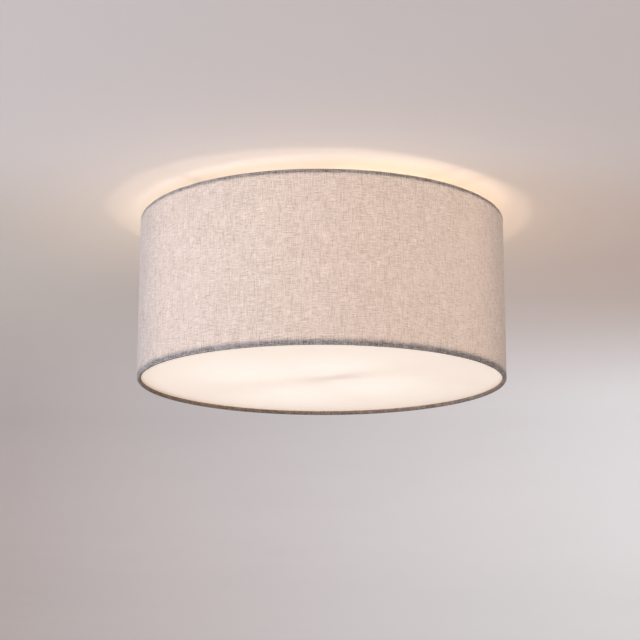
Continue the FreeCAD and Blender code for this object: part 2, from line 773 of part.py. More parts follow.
# ---------------------------------------------------------------- lampholders and bulbs, about the lamp axis
def make_lampholder(end):
    """Nipple, dome, skirt, contact base, screw shell and centre tongue at one end of the lamp axis."""
    place = ALONG_LAMP[end]
    nipple = revolve(
        f"pipe_{end}",
        box_outline(
            "stem_bore / 2", "stem_diameter / 2",
            f"{HUB_FACE} - hub_wall - nut_height - stem_stand", f"{HUB_FACE} + nipple_outside",
        ),
        place,
    )
    keep(nipple, f"holder_nipple_{end}")
    outer, neck, boss = "(holder_diameter / 2)", "(holder_neck / 2)", "(stem_diameter / 2)"
    inner = f"({outer} - holder_wall)"
    dome = revolve(
        f"dome_{end}",
        [
            (boss, HUB_FACE), (neck, HUB_FACE), (neck, f"{HUB_FACE} + holder_neck_length"),
            (outer, DOME_END), (outer, SKIRT_START), (inner, SKIRT_START), (inner, f"{DOME_END} + face_gap"),
            (f"{neck} - holder_wall / 2", f"{HUB_FACE} + holder_boss"), (boss, f"{HUB_FACE} + holder_boss"),
        ],
        place,
    )
    keep(dome, f"holder_dome_{end}")
    bore, mouth = "(skirt_bore / 2)", "(skirt_mouth / 2)"
    skirt = revolve(
        f"sleeve_{end}",
        [
            (inner, SKIRT_START), (outer, SKIRT_START), (outer, f"{SKIRT_START} + holder_neck_length"),
            (mouth, SKIRT_END), (bore, SKIRT_END), (bore, BASE_FACE), (inner, BASE_FACE),
        ],
        place,
    )
    keep(skirt, f"holder_skirt_{end}")
    rim = f"({inner} - base_clearance)"
    base = revolve(
        f"disc_{end}",
        [("0", SKIRT_START), (rim, SKIRT_START), (rim, BASE_FACE), ("0", BASE_FACE)],
        place,
    )
    keep(base, f"holder_base_{end}")
    shell_inner = "(shell_bore / 2)"
    shell_end = f"{BASE_FACE} + shell_length"
    shell = box_outline(shell_inner, f"{shell_inner} + shell_thickness", BASE_FACE, shell_end)
    keep(revolve(f"screw_shell_{end}", shell, place), f"holder_shell_{end}")
    heel, toe = "(-tongue_reach)", "(eyelet_diameter / 4)"
    knee = "(-tongue_reach / 2)"
    tongue = pad(
        f"tongue_{end}",
        [
            (heel, BASE_FACE), (knee, BASE_FACE), (toe, f"{BASE_FACE} + tongue_rise"),
            (toe, f"{BASE_FACE} + tongue_rise + tongue_thickness"),
            (knee, f"{BASE_FACE} + tongue_thickness"), (heel, f"{BASE_FACE} + tongue_thickness"),
        ],
        "tongue_width", plane="XZ_Plane", middle=True, placement=place,
    )
    keep(tongue, f"holder_contact_{end}")


def thread_outline():
    """Rounded thread ridges of the cap, as arcs that meet half way between crest and root."""
    half, swing = "(thread_pitch / 2)", "((cap_crest - cap_root) / 4)"
    middle = "((cap_crest + cap_root) / 4)"
    radius = f"(({half} / 2)^2 + {swing}^2) / (2 * {swing})"
    count = 2 * SIZES["thread_turns"]
    points = []
    for i in range(count):
        turn = 1 if i % 2 == 0 else -1
        points.append((middle, f"{THREAD_START} + {i} * {half}", radius, turn))
    points.append((middle, f"{THREAD_START} + {count} * {half}"))
    return points


def make_bulb(end):
    """Eyelet, glass insulator, threaded cap, housing and opal globe at one end of the lamp axis."""
    place = ALONG_LAMP[end]
    pip = f"({CONTACT} + eyelet_height)"
    glass_end = f"({pip} + insulator_height)"
    eyelet_side = "(eyelet_diameter / 2)"
    eyelet = revolve(
        f"pip_{end}",
        [
            ("0", CONTACT), (f"{eyelet_side} / 2", CONTACT), (eyelet_side, f"{CONTACT} + eyelet_height / 2"),
            (eyelet_side, pip), ("0", pip),
        ],
        place,
    )
    keep(eyelet, f"bulb_{end}_eyelet")
    glass = revolve(
        f"glass_{end}",
        [("0", pip), (eyelet_side, pip), ("insulator_diameter / 2", glass_end), ("0", glass_end)],
        place,
    )
    keep(glass, f"bulb_{end}_insulator")
    inside = "(cap_root / 2 - cap_wall)"
    collar = "(cap_root / 2)"
    cap_start = f"{glass_end} + face_gap"
    thread_end = f"{THREAD_START} + thread_turns * thread_pitch + face_gap"
    profile = [(inside, cap_start), ("insulator_diameter / 2", cap_start)]
    profile += thread_outline()
    profile += [(collar, thread_end), (collar, CAP_END), (inside, CAP_END)]
    keep(revolve(f"cap_{end}", profile, place), f"bulb_{end}_cap")
    mouth = f"({GLOBE_MOUTH})"
    housing = revolve(
        f"housing_{end}",
        [
            (f"{inside} - housing_wall", f"{CAP_END} - housing_wall"), (inside, f"{CAP_END} - housing_wall"),
            (inside, CAP_END), ("cap_crest / 2", CAP_END),
            ("cap_crest / 2", f"{CAP_END} + housing_wall", "housing_flare", -1),
            (mouth, GLOBE_START), (f"{mouth} - housing_wall", GLOBE_START, "housing_flare", 1),
        ],
        place,
    )
    keep(housing, f"bulb_{end}_housing")
    tip = f"({CONTACT} + bulb_length)"
    outer, inner = "(globe_diameter / 2)", "(globe_diameter / 2 - globe_wall)"
    globe = revolve(
        f"globe_{end}",
        [
            (mouth, GLOBE_START, outer, 1), (outer, GLOBE_CENTRE, outer, 1), ("0", tip),
            ("0", f"{tip} - globe_wall", inner, -1), (inner, GLOBE_CENTRE, inner, -1),
            (f"sqrt({inner}^2 - ({GLOBE_CENTRE} - {GLOBE_START})^2)", GLOBE_START),
        ],
        place,
    )
    keep(globe, f"bulb_{end}_globe")


# ---------------------------------------------------------------- terminal block, earth point and leads
def make_terminals():
    """Three-pole block on the canopy's floor, its brass inserts and screws, and the earth point by it."""
    middle = f"({CANOPY_FLOOR} + block_height / 2)"
    block_top = f"({CANOPY_FLOOR} + block_height)"
    poles = ["-pole_pitch", "0", "pole_pitch"]
    front, back = "block_offset - block_width / 2", "block_offset + block_width / 2"
    plan = box_outline("-block_length / 2", "block_length / 2", front, back)
    housing = pad("block", plan, "block_height", offset=CANOPY_FLOOR)
    cut_through(housing, circles=[(x, middle, "insert_diameter") for x in poles], plane="XZ_Plane")
    doc.recompute()
    wells = new_sketch(housing, "XY_Plane", block_top)
    rows = ["(block_offset - terminal_screw_spacing / 2)", "(block_offset + terminal_screw_spacing / 2)"]
    for x in poles:
        for y in rows:
            draw_circle(wells, x, y, "terminal_screw")
    well = housing.newObject("PartDesign::Pocket", "block_wells")
    well.Profile = wells
    well.setExpression("Length", bound("block_height / 2"))
    keep(housing, "terminal_block")

    inserts, screws = [], []
    insert_size = {"Radius": "insert_diameter / 2", "Height": "insert_length"}
    insert_top = f"({middle} + insert_diameter / 2)"
    screw_size = {"Radius": "terminal_screw / 2", "Height": f"{block_top} - {insert_top} - face_gap"}
    for i, x in enumerate(poles):
        place = f"placement(vector({x}; block_offset + insert_length / 2; {middle}); rotationx(90))"
        inserts.append(primitive("Part::Cylinder", f"insert_{i}", insert_size, place))
        for k, y in enumerate(rows):
            spot = at_point(x, y, insert_top)
            screws.append(primitive("Part::Cylinder", f"terminal_screw_{i}_{k}", screw_size, spot))
    keep(group("inserts", inserts), "terminal_inserts")
    keep(group("clamp_screws", screws), "terminal_screws")
    lug_top = f"({CANOPY_FLOOR} + earth_lug_thickness)"
    place = at_point("earth_offset_x", "earth_offset_y", "0")
    lug = revolve(
        "lug", box_outline("earth_screw / 2", "earth_lug_diameter / 2", CANOPY_FLOOR, lug_top), place
    )
    keep(lug, "earth_lug")
    screw = revolve(
        "earth_bolt",
        [
            ("0", f"{CANOPY_UNDER} + face_gap"), ("earth_screw / 2", f"{CANOPY_UNDER} + face_gap"),
            ("earth_screw / 2", lug_top), ("earth_screw_head / 2", lug_top),
            ("earth_screw_head / 2", f"{lug_top} + earth_screw_head_height"),
            ("0", f"{lug_top} + earth_screw_head_height"),
        ],
        place,
    )
    keep(screw, "earth_screw")


def across_lamp(x, y, z):
    """A point given along and across the lamp axis, in the row frame."""
    angle = math.radians(value("lamp_azimuth"))
    return V(x * math.cos(angle) - y * math.sin(angle), x * math.sin(angle) + y * math.cos(angle), z)


def add_wires(label, routes):
    """One node of insulated wires, each along its own route."""
    solids = [rod(points, value("lead_diameter"), value("lead_bend")) for points in routes]
    feature = doc.addObject("Part::Feature", label)
    feature.Shape = solids[0] if len(solids) == 1 else Part.makeCompound(solids)
    return keep(feature, label)


def down_stem(pole, shift, place, level):
    """A lead's route from its terminal, over the bushing at the given level and into the stem."""
    wire = value("lead_diameter")
    pitch = wire + value("lead_gap")
    start = V(
        value("pole_pitch") * pole + value("lead_pair_pitch") / 2 * shift,
        value("block_offset - insert_length / 2"),
        value(f"{CANOPY_FLOOR} + block_height / 2"),
    )
    exit_point = start - V(0, EXIT_RUN * wire, 0)
    crest = value(f"{STEM_TOP} + bushing_flange") + (CREST_RISE + LAYER_RISE * level) * pitch
    over = across_lamp(place[0], place[1], crest)
    back = V(exit_point.x - over.x, exit_point.y - over.y, 0).normalize()
    return [start, exit_point, over + back * CREST_RUN * wire, over]


def make_leads():
    """A live and a neutral lead to each lampholder and an earth lead to the hub's strap, down the stem."""
    wire, axis_z = value("lead_diameter"), -value("lamp_drop")
    # four leads stand round the earth lead in the stem, on the corners of a square turned with the lamp axis
    side = (wire + value("lead_gap")) / math.sqrt(2)
    reach = value(SKIRT_START)
    # each lead's terminal, its side of that terminal, its end of the lamp axis, its side of it, and its layer
    leads = {
        "live": [(1, -1, 1, -1, 0), (1, 1, -1, -1, 2)],
        "neutral": [(0, 1, 1, 1, 0), (0, -1, -1, 1, 0)],
    }
    for name, runs in leads.items():
        routes = []
        for pole, shift, way, across, level in runs:
            route = down_stem(pole, shift, (side * way, side * across), level)
            route.append(across_lamp(side * way, side * across, axis_z))
            route.append(across_lamp(reach * way, side * across, axis_z))
            routes.append(route)
        add_wires(f"{name}_leads", routes)
    route = down_stem(-1, 0, (0, 0), 1)
    low = axis_z - EARTH_DROP * wire
    route += [across_lamp(0, 0, low), across_lamp(0, value("strap_span / 2 - strap_thickness"), low)]
    add_wires("earth_lead", [route])


# ---------------------------------------------------------------- build, check, export
def main():
    make_shade()
    make_carrier()
    make_bracket()
    make_canopy()
    make_knurled_nuts()
    make_stem()
    make_hub()
    for end in ALONG_LAMP:
        make_lampholder(end)
        make_bulb(end)
    nut_foot = f"{HUB_FACE} - hub_wall - nut_height"
    nuts = [
        hex_nut(f"nipple_nut_{end}", f"{place} * placement(vector(0; 0; {nut_foot}); rotationz(0))")
        for end, place in ALONG_LAMP.items()
    ]
    keep(group("nipple_nut_pair", nuts), "nipple_nuts")
    make_terminals()
    make_leads()
    doc.recompute()

    for feature in doc.Objects:
        if "Invalid" in feature.State or "Error" in feature.State:
            raise RuntimeError(f"{feature.Label} failed: {feature.State}")
    for feature in subparts:
        shape = feature.Shape
        if shape.isNull() or not shape.isValid() or not shape.Solids:
            raise RuntimeError(f"{feature.Label} has no valid solid")
    os.makedirs("parts", exist_ok=True)
    for feature in subparts:
        feature.Shape.exportStep(f"parts/{feature.Label}.step")
    print(len(subparts), "sub-parts written")


main()
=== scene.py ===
"""Looks of the flush mount ceiling light: cloth drum, opal disc, two bulbs, hub, canopy and wiring.

Metres in the row frame: z = 0 is the ceiling, the light hangs below it and its front looks along -Y.
"""

import logging
import math
from dataclasses import dataclass
from enum import Enum
from typing import Callable, Dict, List, Optional, Sequence, Tuple

import bmesh
import bpy
from mathutils import Euler, Matrix, Vector

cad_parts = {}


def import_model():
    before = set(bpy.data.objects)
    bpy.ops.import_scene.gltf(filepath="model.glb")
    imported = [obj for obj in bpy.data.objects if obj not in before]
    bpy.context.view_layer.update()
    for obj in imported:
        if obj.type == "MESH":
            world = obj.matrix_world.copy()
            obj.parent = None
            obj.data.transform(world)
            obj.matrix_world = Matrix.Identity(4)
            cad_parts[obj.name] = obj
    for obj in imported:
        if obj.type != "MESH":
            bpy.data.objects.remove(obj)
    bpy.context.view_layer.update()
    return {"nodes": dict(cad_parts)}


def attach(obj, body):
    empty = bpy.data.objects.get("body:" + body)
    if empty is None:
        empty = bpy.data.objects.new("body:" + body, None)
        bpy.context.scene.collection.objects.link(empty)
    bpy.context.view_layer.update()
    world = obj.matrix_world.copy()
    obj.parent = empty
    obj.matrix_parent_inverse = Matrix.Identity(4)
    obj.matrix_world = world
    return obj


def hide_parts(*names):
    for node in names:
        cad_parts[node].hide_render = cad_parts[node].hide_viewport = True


LOG = logging.getLogger("ceiling_light")
MM = 0.001
FULL_TURN = 2 * math.pi
DIAGONAL = math.sqrt(0.5)
PLAIN: Tuple[float, float, float] = (1.0, 1.0, 1.0)
MIX_SHARE, MIX_ONE, MIX_TWO, MIX_RESULT = 0, 6, 7, 2

Colour = Tuple[float, float, float]
Triple = Tuple[float, float, float]
Point = Tuple[float, float]
Span = Tuple[float, float]
Socket = bpy.types.NodeSocket
Sockets = Dict[str, Socket]
Value = float | Sequence[float] | Socket


class End(Enum):
    """The two ends of the lamp axis, with the way each one points along it."""

    A = 1
    B = -1

    @property
    def letter(self) -> str:
        """The letter that this end's nodes carry."""
        return self.name.lower()

    @property
    def azimuth(self) -> float:
        """The angle about Z at which this end points away from the drum's axis."""
        return math.radians(45.0 if self is End.A else 225.0)


class Rim(Enum):
    """The two hems of the drum, with the way from the hem into the drum's wall."""

    TOP = -1
    LOW = 1


class LampKind(Enum):
    """The lamps at a globe: a disc that faces the drum's axis, or a ball that shines all round."""

    DISC = "AREA"
    BALL = "POINT"


# ------------------------------------------------------------------------------------------ node building
def spaced(key: str) -> str:
    """A socket's name from a keyword: underscores stand for spaces."""
    return key.replace("_", " ")


class Graph:
    """Short ways to add nodes to one node tree."""

    def __init__(self, tree: bpy.types.NodeTree) -> None:
        """Keeps the tree that nodes are added to."""
        self.tree = tree

    def add(self, kind: str, **settings: object) -> bpy.types.Node:
        """Adds a node and sets its properties.

        Args:
            kind: the node's type name.
            settings: properties of the node, by name.

        Returns:
            The new node.
        """
        node = self.tree.nodes.new(kind)
        for key, setting in settings.items():
            setattr(node, key, setting)
        return node

    def feed(self, socket: Socket, value: Value) -> None:
        """Links a socket to another, or sets its own value.

        Args:
            socket: the input socket.
            value: an output socket, a number or a sequence of numbers.
        """
        if isinstance(value, Socket):
            self.tree.links.new(value, socket)
        elif isinstance(value, (int, float)):
            socket.default_value = value
        else:
            held = list(value)
            wanted = len(socket.default_value)
            socket.default_value = (held + [1.0] * wanted)[:wanted]

    def feed_all(self, sockets: Sequence[Socket], values: Sequence[Value]) -> None:
        """Feeds sockets in order."""
        for socket, value in zip(sockets, values):
            self.feed(socket, value)

    def math(self, operation: str, *values: Value, clamp: bool = False) -> Socket:
        """A Math node's result.

        Args:
            operation: the operation's name, such as MULTIPLY.
            values: its inputs, in order.
            clamp: whether the result is held between 0 and 1.

        Returns:
            The node's output socket.
        """
        node = self.add("ShaderNodeMath", operation=operation, use_clamp=clamp)
        self.feed_all(node.inputs, values)
        return node.outputs[0]

    def times(self, one: Value, two: Value) -> Socket:
        """The product of two numbers."""
        return self.math("MULTIPLY", one, two)

    def centred(self, share: Value) -> Socket:
        """A share that runs from 0 to 1, moved to run from -0.5 to 0.5."""
        return self.math("SUBTRACT", share, 0.5)

    def vector(self, operation: str, *values: Value) -> Socket:
        """A Vector Math node's result.

        Args:
            operation: the operation's name, such as LENGTH.
            values: its inputs, in order.

        Returns:
            The node's vector output, or its number where the operation gives one.
        """
        node = self.add("ShaderNodeVectorMath", operation=operation)
        self.feed_all([s for s in node.inputs if s.enabled], values)
        gives_number = operation in {"LENGTH", "DISTANCE", "DOT_PRODUCT"}
        return node.outputs["Value" if gives_number else "Vector"]

    def mix(self, kind: str, share: Value, one: Value, two: Value) -> Socket:
        """A Mix node's colour.

        Args:
            kind: how the two are mixed, such as MULTIPLY.
            share: how far the second colour counts, 0 to 1.
            one: the first colour.
            two: the second colour.

        Returns:
            The mixed colour's socket.
        """
        node = self.add("ShaderNodeMix", data_type="RGBA", blend_type=kind)
        for index, value in ((MIX_SHARE, share), (MIX_ONE, one), (MIX_TWO, two)):
            self.feed(node.inputs[index], value)
        return node.outputs[MIX_RESULT]

    def blend(self, share: Value, low: Value, high: Value) -> Socket:
        """A colour between two: a share of 0 gives low and 1 gives high."""
        return self.mix("MIX", share, low, high)

    def tint(self, colour: Value, factor: Value) -> Socket:
        """A colour times a colour or a grey."""
        return self.mix("MULTIPLY", 1.0, colour, factor)

    def plus(self, colour: Value, other: Value) -> Socket:
        """The sum of two colours."""
        return self.mix("ADD", 1.0, colour, other)

    def ramp(self, value: Value, low: float, high: float, start: float = 0.0, end: float = 1.0,
             smooth: bool = True) -> Socket:
        """Maps a number from one range to another, held at both ends.

        Args:
            value: the number's socket.
            low: the value that gives start.
            high: the value that gives end.
            start: result at low.
            end: result at high.
            smooth: whether the change eases in and out.

        Returns:
            The mapped number's socket.
        """
        kind = "SMOOTHSTEP" if smooth else "LINEAR"
        node = self.add("ShaderNodeMapRange", interpolation_type=kind)
        self.feed_all(node.inputs, (value, low, high, start, end))
        return node.outputs[0]

    def noise(self, place: Value, scale: Value, detail: float = 3.0, roughness: float = 0.55) -> Socket:
        """Smooth noise between 0 and 1.

        Args:
            place: the point's socket.
            scale: features per unit of the point.
            detail: octaves.
            roughness: strength of the finer octaves.

        Returns:
            The noise value's socket.
        """
        node = self.add("ShaderNodeTexNoise", noise_dimensions="3D")
        self.feed(node.inputs["Vector"], place)
        self.feed(node.inputs["Scale"], scale)
        node.inputs["Detail"].default_value = detail
        node.inputs["Roughness"].default_value = roughness
        return node.outputs[0]

    def speckle(self, place: Value, size: Value) -> Socket:
        """Noise with features of one size, in the point's own unit."""
        return self.noise(self.vector("DIVIDE", place, self.join(size, size, size)), 1.0)

    def object_place(self) -> Socket:
        """The point in the piece's own frame, in metres."""
        return self.add("ShaderNodeTexCoord").outputs["Object"]

    def split(self, place: Value) -> Tuple[Socket, ...]:
        """The x, y and z of a vector.

        Args:
            place: the vector's socket.

        Returns:
            Three number sockets.
        """
        node = self.add("ShaderNodeSeparateXYZ")
        self.feed(node.inputs[0], place)
        return tuple(node.outputs)

    def join(self, x: Value, y: Value, z: Value) -> Socket:
        """A vector from three numbers.

        Args:
            x: first part.
            y: second part.
            z: third part.

        Returns:
            The vector's socket.
        """
        node = self.add("ShaderNodeCombineXYZ")
        self.feed_all(node.inputs, (x, y, z))
        return node.outputs[0]

    def radius(self, x: Socket, y: Socket) -> Socket:
        """Distance from the drum's axis."""
        return self.vector("LENGTH", self.join(x, y, 0.0))

    def either(self, output: str, share: Socket, one: bpy.types.Node, two: bpy.types.Node) -> None:
        """Ends the tree with one of two shaders.

        Args:
            output: type name of the tree's output node.
            share: 0 for the first shader, 1 for the second.
            one: the first shader's node.
            two: the second shader's node.
        """
        mix = self.add("ShaderNodeMixShader")
        self.feed_all(mix.inputs, (share, one.outputs[0], two.outputs[0]))
        self.feed(self.add(output).inputs[0], mix.outputs[0])


def make_group(name: str, body: Callable[[Graph, Sockets], Sockets], outputs: Sequence[str],
               **numbers: float) -> bpy.types.NodeTree:
    """Builds a shader node group whose first input is the vector Place.

    Args:
        name: the group's name.
        body: makes the nodes from the inputs, and returns the outputs by name.
        outputs: names of the outputs, all numbers.
        numbers: defaults of the other inputs by name, with underscores for spaces.

    Returns:
        The group's tree.
    """
    tree = bpy.data.node_groups.new(name, "ShaderNodeTree")
    tree.interface.new_socket("Place", in_out="INPUT", socket_type="NodeSocketVector")
    for key, number in numbers.items():
        socket = tree.interface.new_socket(spaced(key), in_out="INPUT", socket_type="NodeSocketFloat")
        socket.default_value = number
    for label in outputs:
        tree.interface.new_socket(label, in_out="OUTPUT", socket_type="NodeSocketFloat")
    graph = Graph(tree)
    source = graph.add("NodeGroupInput")
    sink = graph.add("NodeGroupOutput")
    for label, socket in body(graph, {s.name: s for s in source.outputs if s.name}).items():
        tree.links.new(socket, sink.inputs[label])
    return tree


@dataclass(frozen=True)
class Weave:
    """Scales and shares of the yarns, flecks and clouds in the melange cloth.

    A slice is where a noise is cut, so that no two are alike; thick and thin say where a yarn's noise
    counts as a slub or a gap, and loose where it counts as a stray fibre.
    """

    wander_scale: float = 60.0
    wander: float = 1.2 * MM
    yarns_across: float = 0.74
    yarns_up: float = 0.78
    stretch: float = 0.65
    loose_stretch: float = 0.45
    warp_slice: float = 3.7
    weft_slice: float = 9.1
    fleck_slice: float = 5.3
    loose_warp_slice: float = 21.4
    loose_weft_slice: float = 27.9
    cloud_scale: float = 38.0
    thick_warp: Span = (0.64, 0.84)
    thick_weft: Span = (0.58, 0.78)
    thin_warp: Span = (0.36, 0.18)
    thin_weft: Span = (0.42, 0.24)
    loose_warp: Span = (0.64, 0.72)
    loose_weft: Span = (0.63, 0.71)
    warp_share: float = 0.80
    line_share: float = 1.04
    slub_share: float = 0.10
    loose_share: float = -0.27
    loose_lift: float = 0.035
    fleck_share: float = 1.90
    cloud_share: float = 0.24
    gap_shade: float = 0.88
    thread_shade: float = 0.20


class Effects:
    """The node groups that several materials share, each made once."""

    weave = Weave()

    def __init__(self) -> None:
        """Builds every group."""
        self.cloth = make_group("melange_cloth", self._cloth, ("Tone", "Shade", "Height"),
                                Thread_Pitch=0.6 * MM, Streak_Length=10 * MM, Slub_Strength=0.71)
        self.grain = make_group("fine_grain", self._grain, ("Roughness", "Patches", "Height"),
                                Grain_Size=0.8 * MM, Patch_Size=30 * MM, Rough_Low=0.4, Rough_High=0.5)
        self.wear = make_group("edge_wear", self._wear, ("Mask",), Edge_Width=0.6 * MM, Amount=0.4)
        self.dust = make_group("settled_dust", self._dust, ("Mask",), Amount=0.3, Speck_Size=2 * MM)
        self.lamps = make_group("lamp_light", self._lamps, ("Light",),
                                Softness=0.12, Lamp_Reach=128 * MM, Lamp_Drop=87 * MM)
        self.thread = make_group("cut_thread", self._thread, ("Height", "Groove"), Pitch=1 * MM)

    @classmethod
    def _cloth(cls, g: Graph, i: Sockets) -> Sockets:
        """Plain weave of uneven two-tone yarn; Place is (along, up, 0) in metres on the flat cloth.

        Args:
            g: the group's graph.
            i: its inputs by name.

        Returns:
            Tone of the yarn, shade between threads, and height.
        """
        w = cls.weave
        wander = g.noise(i["Place"], w.wander_scale, detail=2.0)
        place = g.vector("ADD", i["Place"], g.vector("SCALE", g.join(wander, wander, 0.0), w.wander))
        u, v, _ = g.split(place)
        fine_u, fine_v = (g.math("DIVIDE", part, i["Thread Pitch"]) for part in (u, v))
        long_u, long_v = (g.math("DIVIDE", part, i["Streak Length"]) for part in (u, v))
        yarn_u, yarn_v = g.times(fine_u, w.yarns_across), g.times(fine_v, w.yarns_up)
        warp = g.noise(g.join(yarn_u, g.times(long_v, w.stretch), w.warp_slice), 1.0, 1.0, 0.5)
        weft = g.noise(g.join(g.times(long_u, w.stretch), yarn_v, w.weft_slice), 1.0, 1.0, 0.5)
        grain = g.noise(g.join(yarn_u, yarn_v, w.fleck_slice), 1.0, 2.0, 0.75)
        cloud = g.noise(place, w.cloud_scale, 3.0, 0.6)
        thick = g.math("MAXIMUM", g.ramp(warp, *w.thick_warp), g.ramp(weft, *w.thick_weft))
        thin = g.math("MAXIMUM", g.ramp(warp, *w.thin_warp), g.ramp(weft, *w.thin_weft))
        lines = g.math("MULTIPLY_ADD", g.centred(warp), w.warp_share, g.centred(weft))
        uneven = g.times(g.math("SUBTRACT", thick, thin), w.slub_share)
        slubs = g.math("MULTIPLY_ADD", lines, w.line_share, uneven)
        loose_warp = g.noise(g.join(yarn_u, g.times(long_v, w.loose_stretch), w.loose_warp_slice), 1.0, 0.0)
        loose_weft = g.noise(g.join(g.times(long_u, w.loose_stretch), yarn_v, w.loose_weft_slice), 1.0, 0.0)
        loose = g.math("MAXIMUM", g.ramp(loose_warp, *w.loose_warp), g.ramp(loose_weft, *w.loose_weft))
        slubs = g.math("MULTIPLY_ADD", loose, w.loose_share, g.math("ADD", slubs, w.loose_lift))
        flecks = g.times(g.centred(grain), w.fleck_share)
        clouds = g.times(g.centred(cloud), w.cloud_share)
        mixed = g.math("ADD", g.times(g.math("ADD", slubs, flecks), i["Slub Strength"]), clouds)
        waves = [g.math("SINE", g.times(part, math.pi)) for part in (fine_u, fine_v)]
        over = g.times(*waves)
        shade = g.math("MULTIPLY_ADD", g.math("ABSOLUTE", over), w.thread_shade, w.gap_shade)
        rise = g.math("MULTIPLY_ADD", thick, 0.5, g.math("MULTIPLY_ADD", over, 0.35, 0.3))
        return {"Tone": g.math("ADD", mixed, 0.5, clamp=True), "Shade": shade, "Height": rise}

    @staticmethod
    def _grain(g: Graph, i: Sockets) -> Sockets:
        """Fine grain with slow patches, for coats, castings and mouldings.

        Args:
            g: the group's graph.
            i: its inputs by name.

        Returns:
            Roughness, patch mask and height.
        """
        fine = g.speckle(i["Place"], i["Grain Size"])
        wide = g.speckle(i["Place"], i["Patch Size"])
        mixed = g.math("MULTIPLY_ADD", fine, 0.45, g.times(wide, 0.55))
        span = g.math("SUBTRACT", i["Rough High"], i["Rough Low"])
        rough = g.math("MULTIPLY_ADD", g.ramp(mixed, low=0.35, high=0.65), span, i["Rough Low"])
        return {"Roughness": rough, "Patches": wide, "Height": fine}

    @staticmethod
    def _wear(g: Graph, i: Sockets) -> Sockets:
        """Broken rubbing along a piece's edges.

        Args:
            g: the group's graph.
            i: its inputs by name.

        Returns:
            The rubbed mask.
        """
        bevel = g.add("ShaderNodeBevel", samples=4)
        g.feed(bevel.inputs["Radius"], i["Edge Width"])
        flat = g.add("ShaderNodeNewGeometry").outputs["Normal"]
        bend = g.math("SUBTRACT", 1.0, g.vector("DOT_PRODUCT", bevel.outputs[0], flat))
        broken = g.noise(i["Place"], scale=700.0)
        edge = g.times(g.ramp(bend, low=0.02, high=0.20), g.ramp(broken, low=0.42, high=0.62))
        return {"Mask": g.math("MULTIPLY", edge, i["Amount"], clamp=True)}

    @staticmethod
    def _dust(g: Graph, i: Sockets) -> Sockets:
        """Dust that has settled on faces that look up.

        Args:
            g: the group's graph.
            i: its inputs by name.

        Returns:
            The dust mask.
        """
        up = g.split(g.add("ShaderNodeNewGeometry").outputs["Normal"])[2]
        facing = g.ramp(up, low=0.35, high=0.95)
        specks = g.ramp(g.speckle(i["Place"], i["Speck Size"]), low=0.45, high=0.7)
        drift = g.noise(i["Place"], scale=45.0, detail=2.0)
        amount = g.times(g.math("MULTIPLY_ADD", specks, 0.6, 0.4), g.ramp(drift, low=0.3, high=0.7))
        return {"Mask": g.math("MULTIPLY", g.times(facing, amount), i["Amount"], clamp=True)}

    @staticmethod
    def _lamps(g: Graph, i: Sockets) -> Sockets:
        """Light that both lamps bring to a point, about 1 on the drum's wall nearest to one.

        Args:
            g: the group's graph.
            i: its inputs by name.

        Returns:
            The light level.
        """
        near_square, far_square = 0.0052, 0.1076
        drop = g.times(i["Lamp Drop"], -1.0)
        parts = []
        for end in End:
            across = g.times(i["Lamp Reach"], end.value * DIAGONAL)
            away = g.vector("SUBTRACT", i["Place"], g.join(across, across, drop))
            square = g.vector("DOT_PRODUCT", away, away)
            parts.append(g.math("DIVIDE", 1.0, g.math("ADD", square, i["Softness"])))
        near, far = (g.math("DIVIDE", 1.0, g.math("ADD", square, i["Softness"]))
                     for square in (near_square, far_square))
        return {"Light": g.math("DIVIDE", g.math("ADD", *parts), g.math("ADD", near, far))}

    @staticmethod
    def _thread(g: Graph, i: Sockets) -> Sockets:
        """A cut thread; Place has its axis along z, in metres.

        Args:
            g: the group's graph.
            i: its inputs by name.

        Returns:
            Height of the flank, and a mask of the grooves.
        """
        x, y, z = g.split(i["Place"])
        turn = g.math("DIVIDE", g.math("ARCTAN2", y, x), FULL_TURN)
        phase = g.math("FRACT", g.math("SUBTRACT", g.math("DIVIDE", z, i["Pitch"]), turn))
        height = g.times(g.math("ABSOLUTE", g.centred(phase)), 2.0)
        return {"Height": height, "Groove": g.ramp(height, low=0.45, high=0.05)}


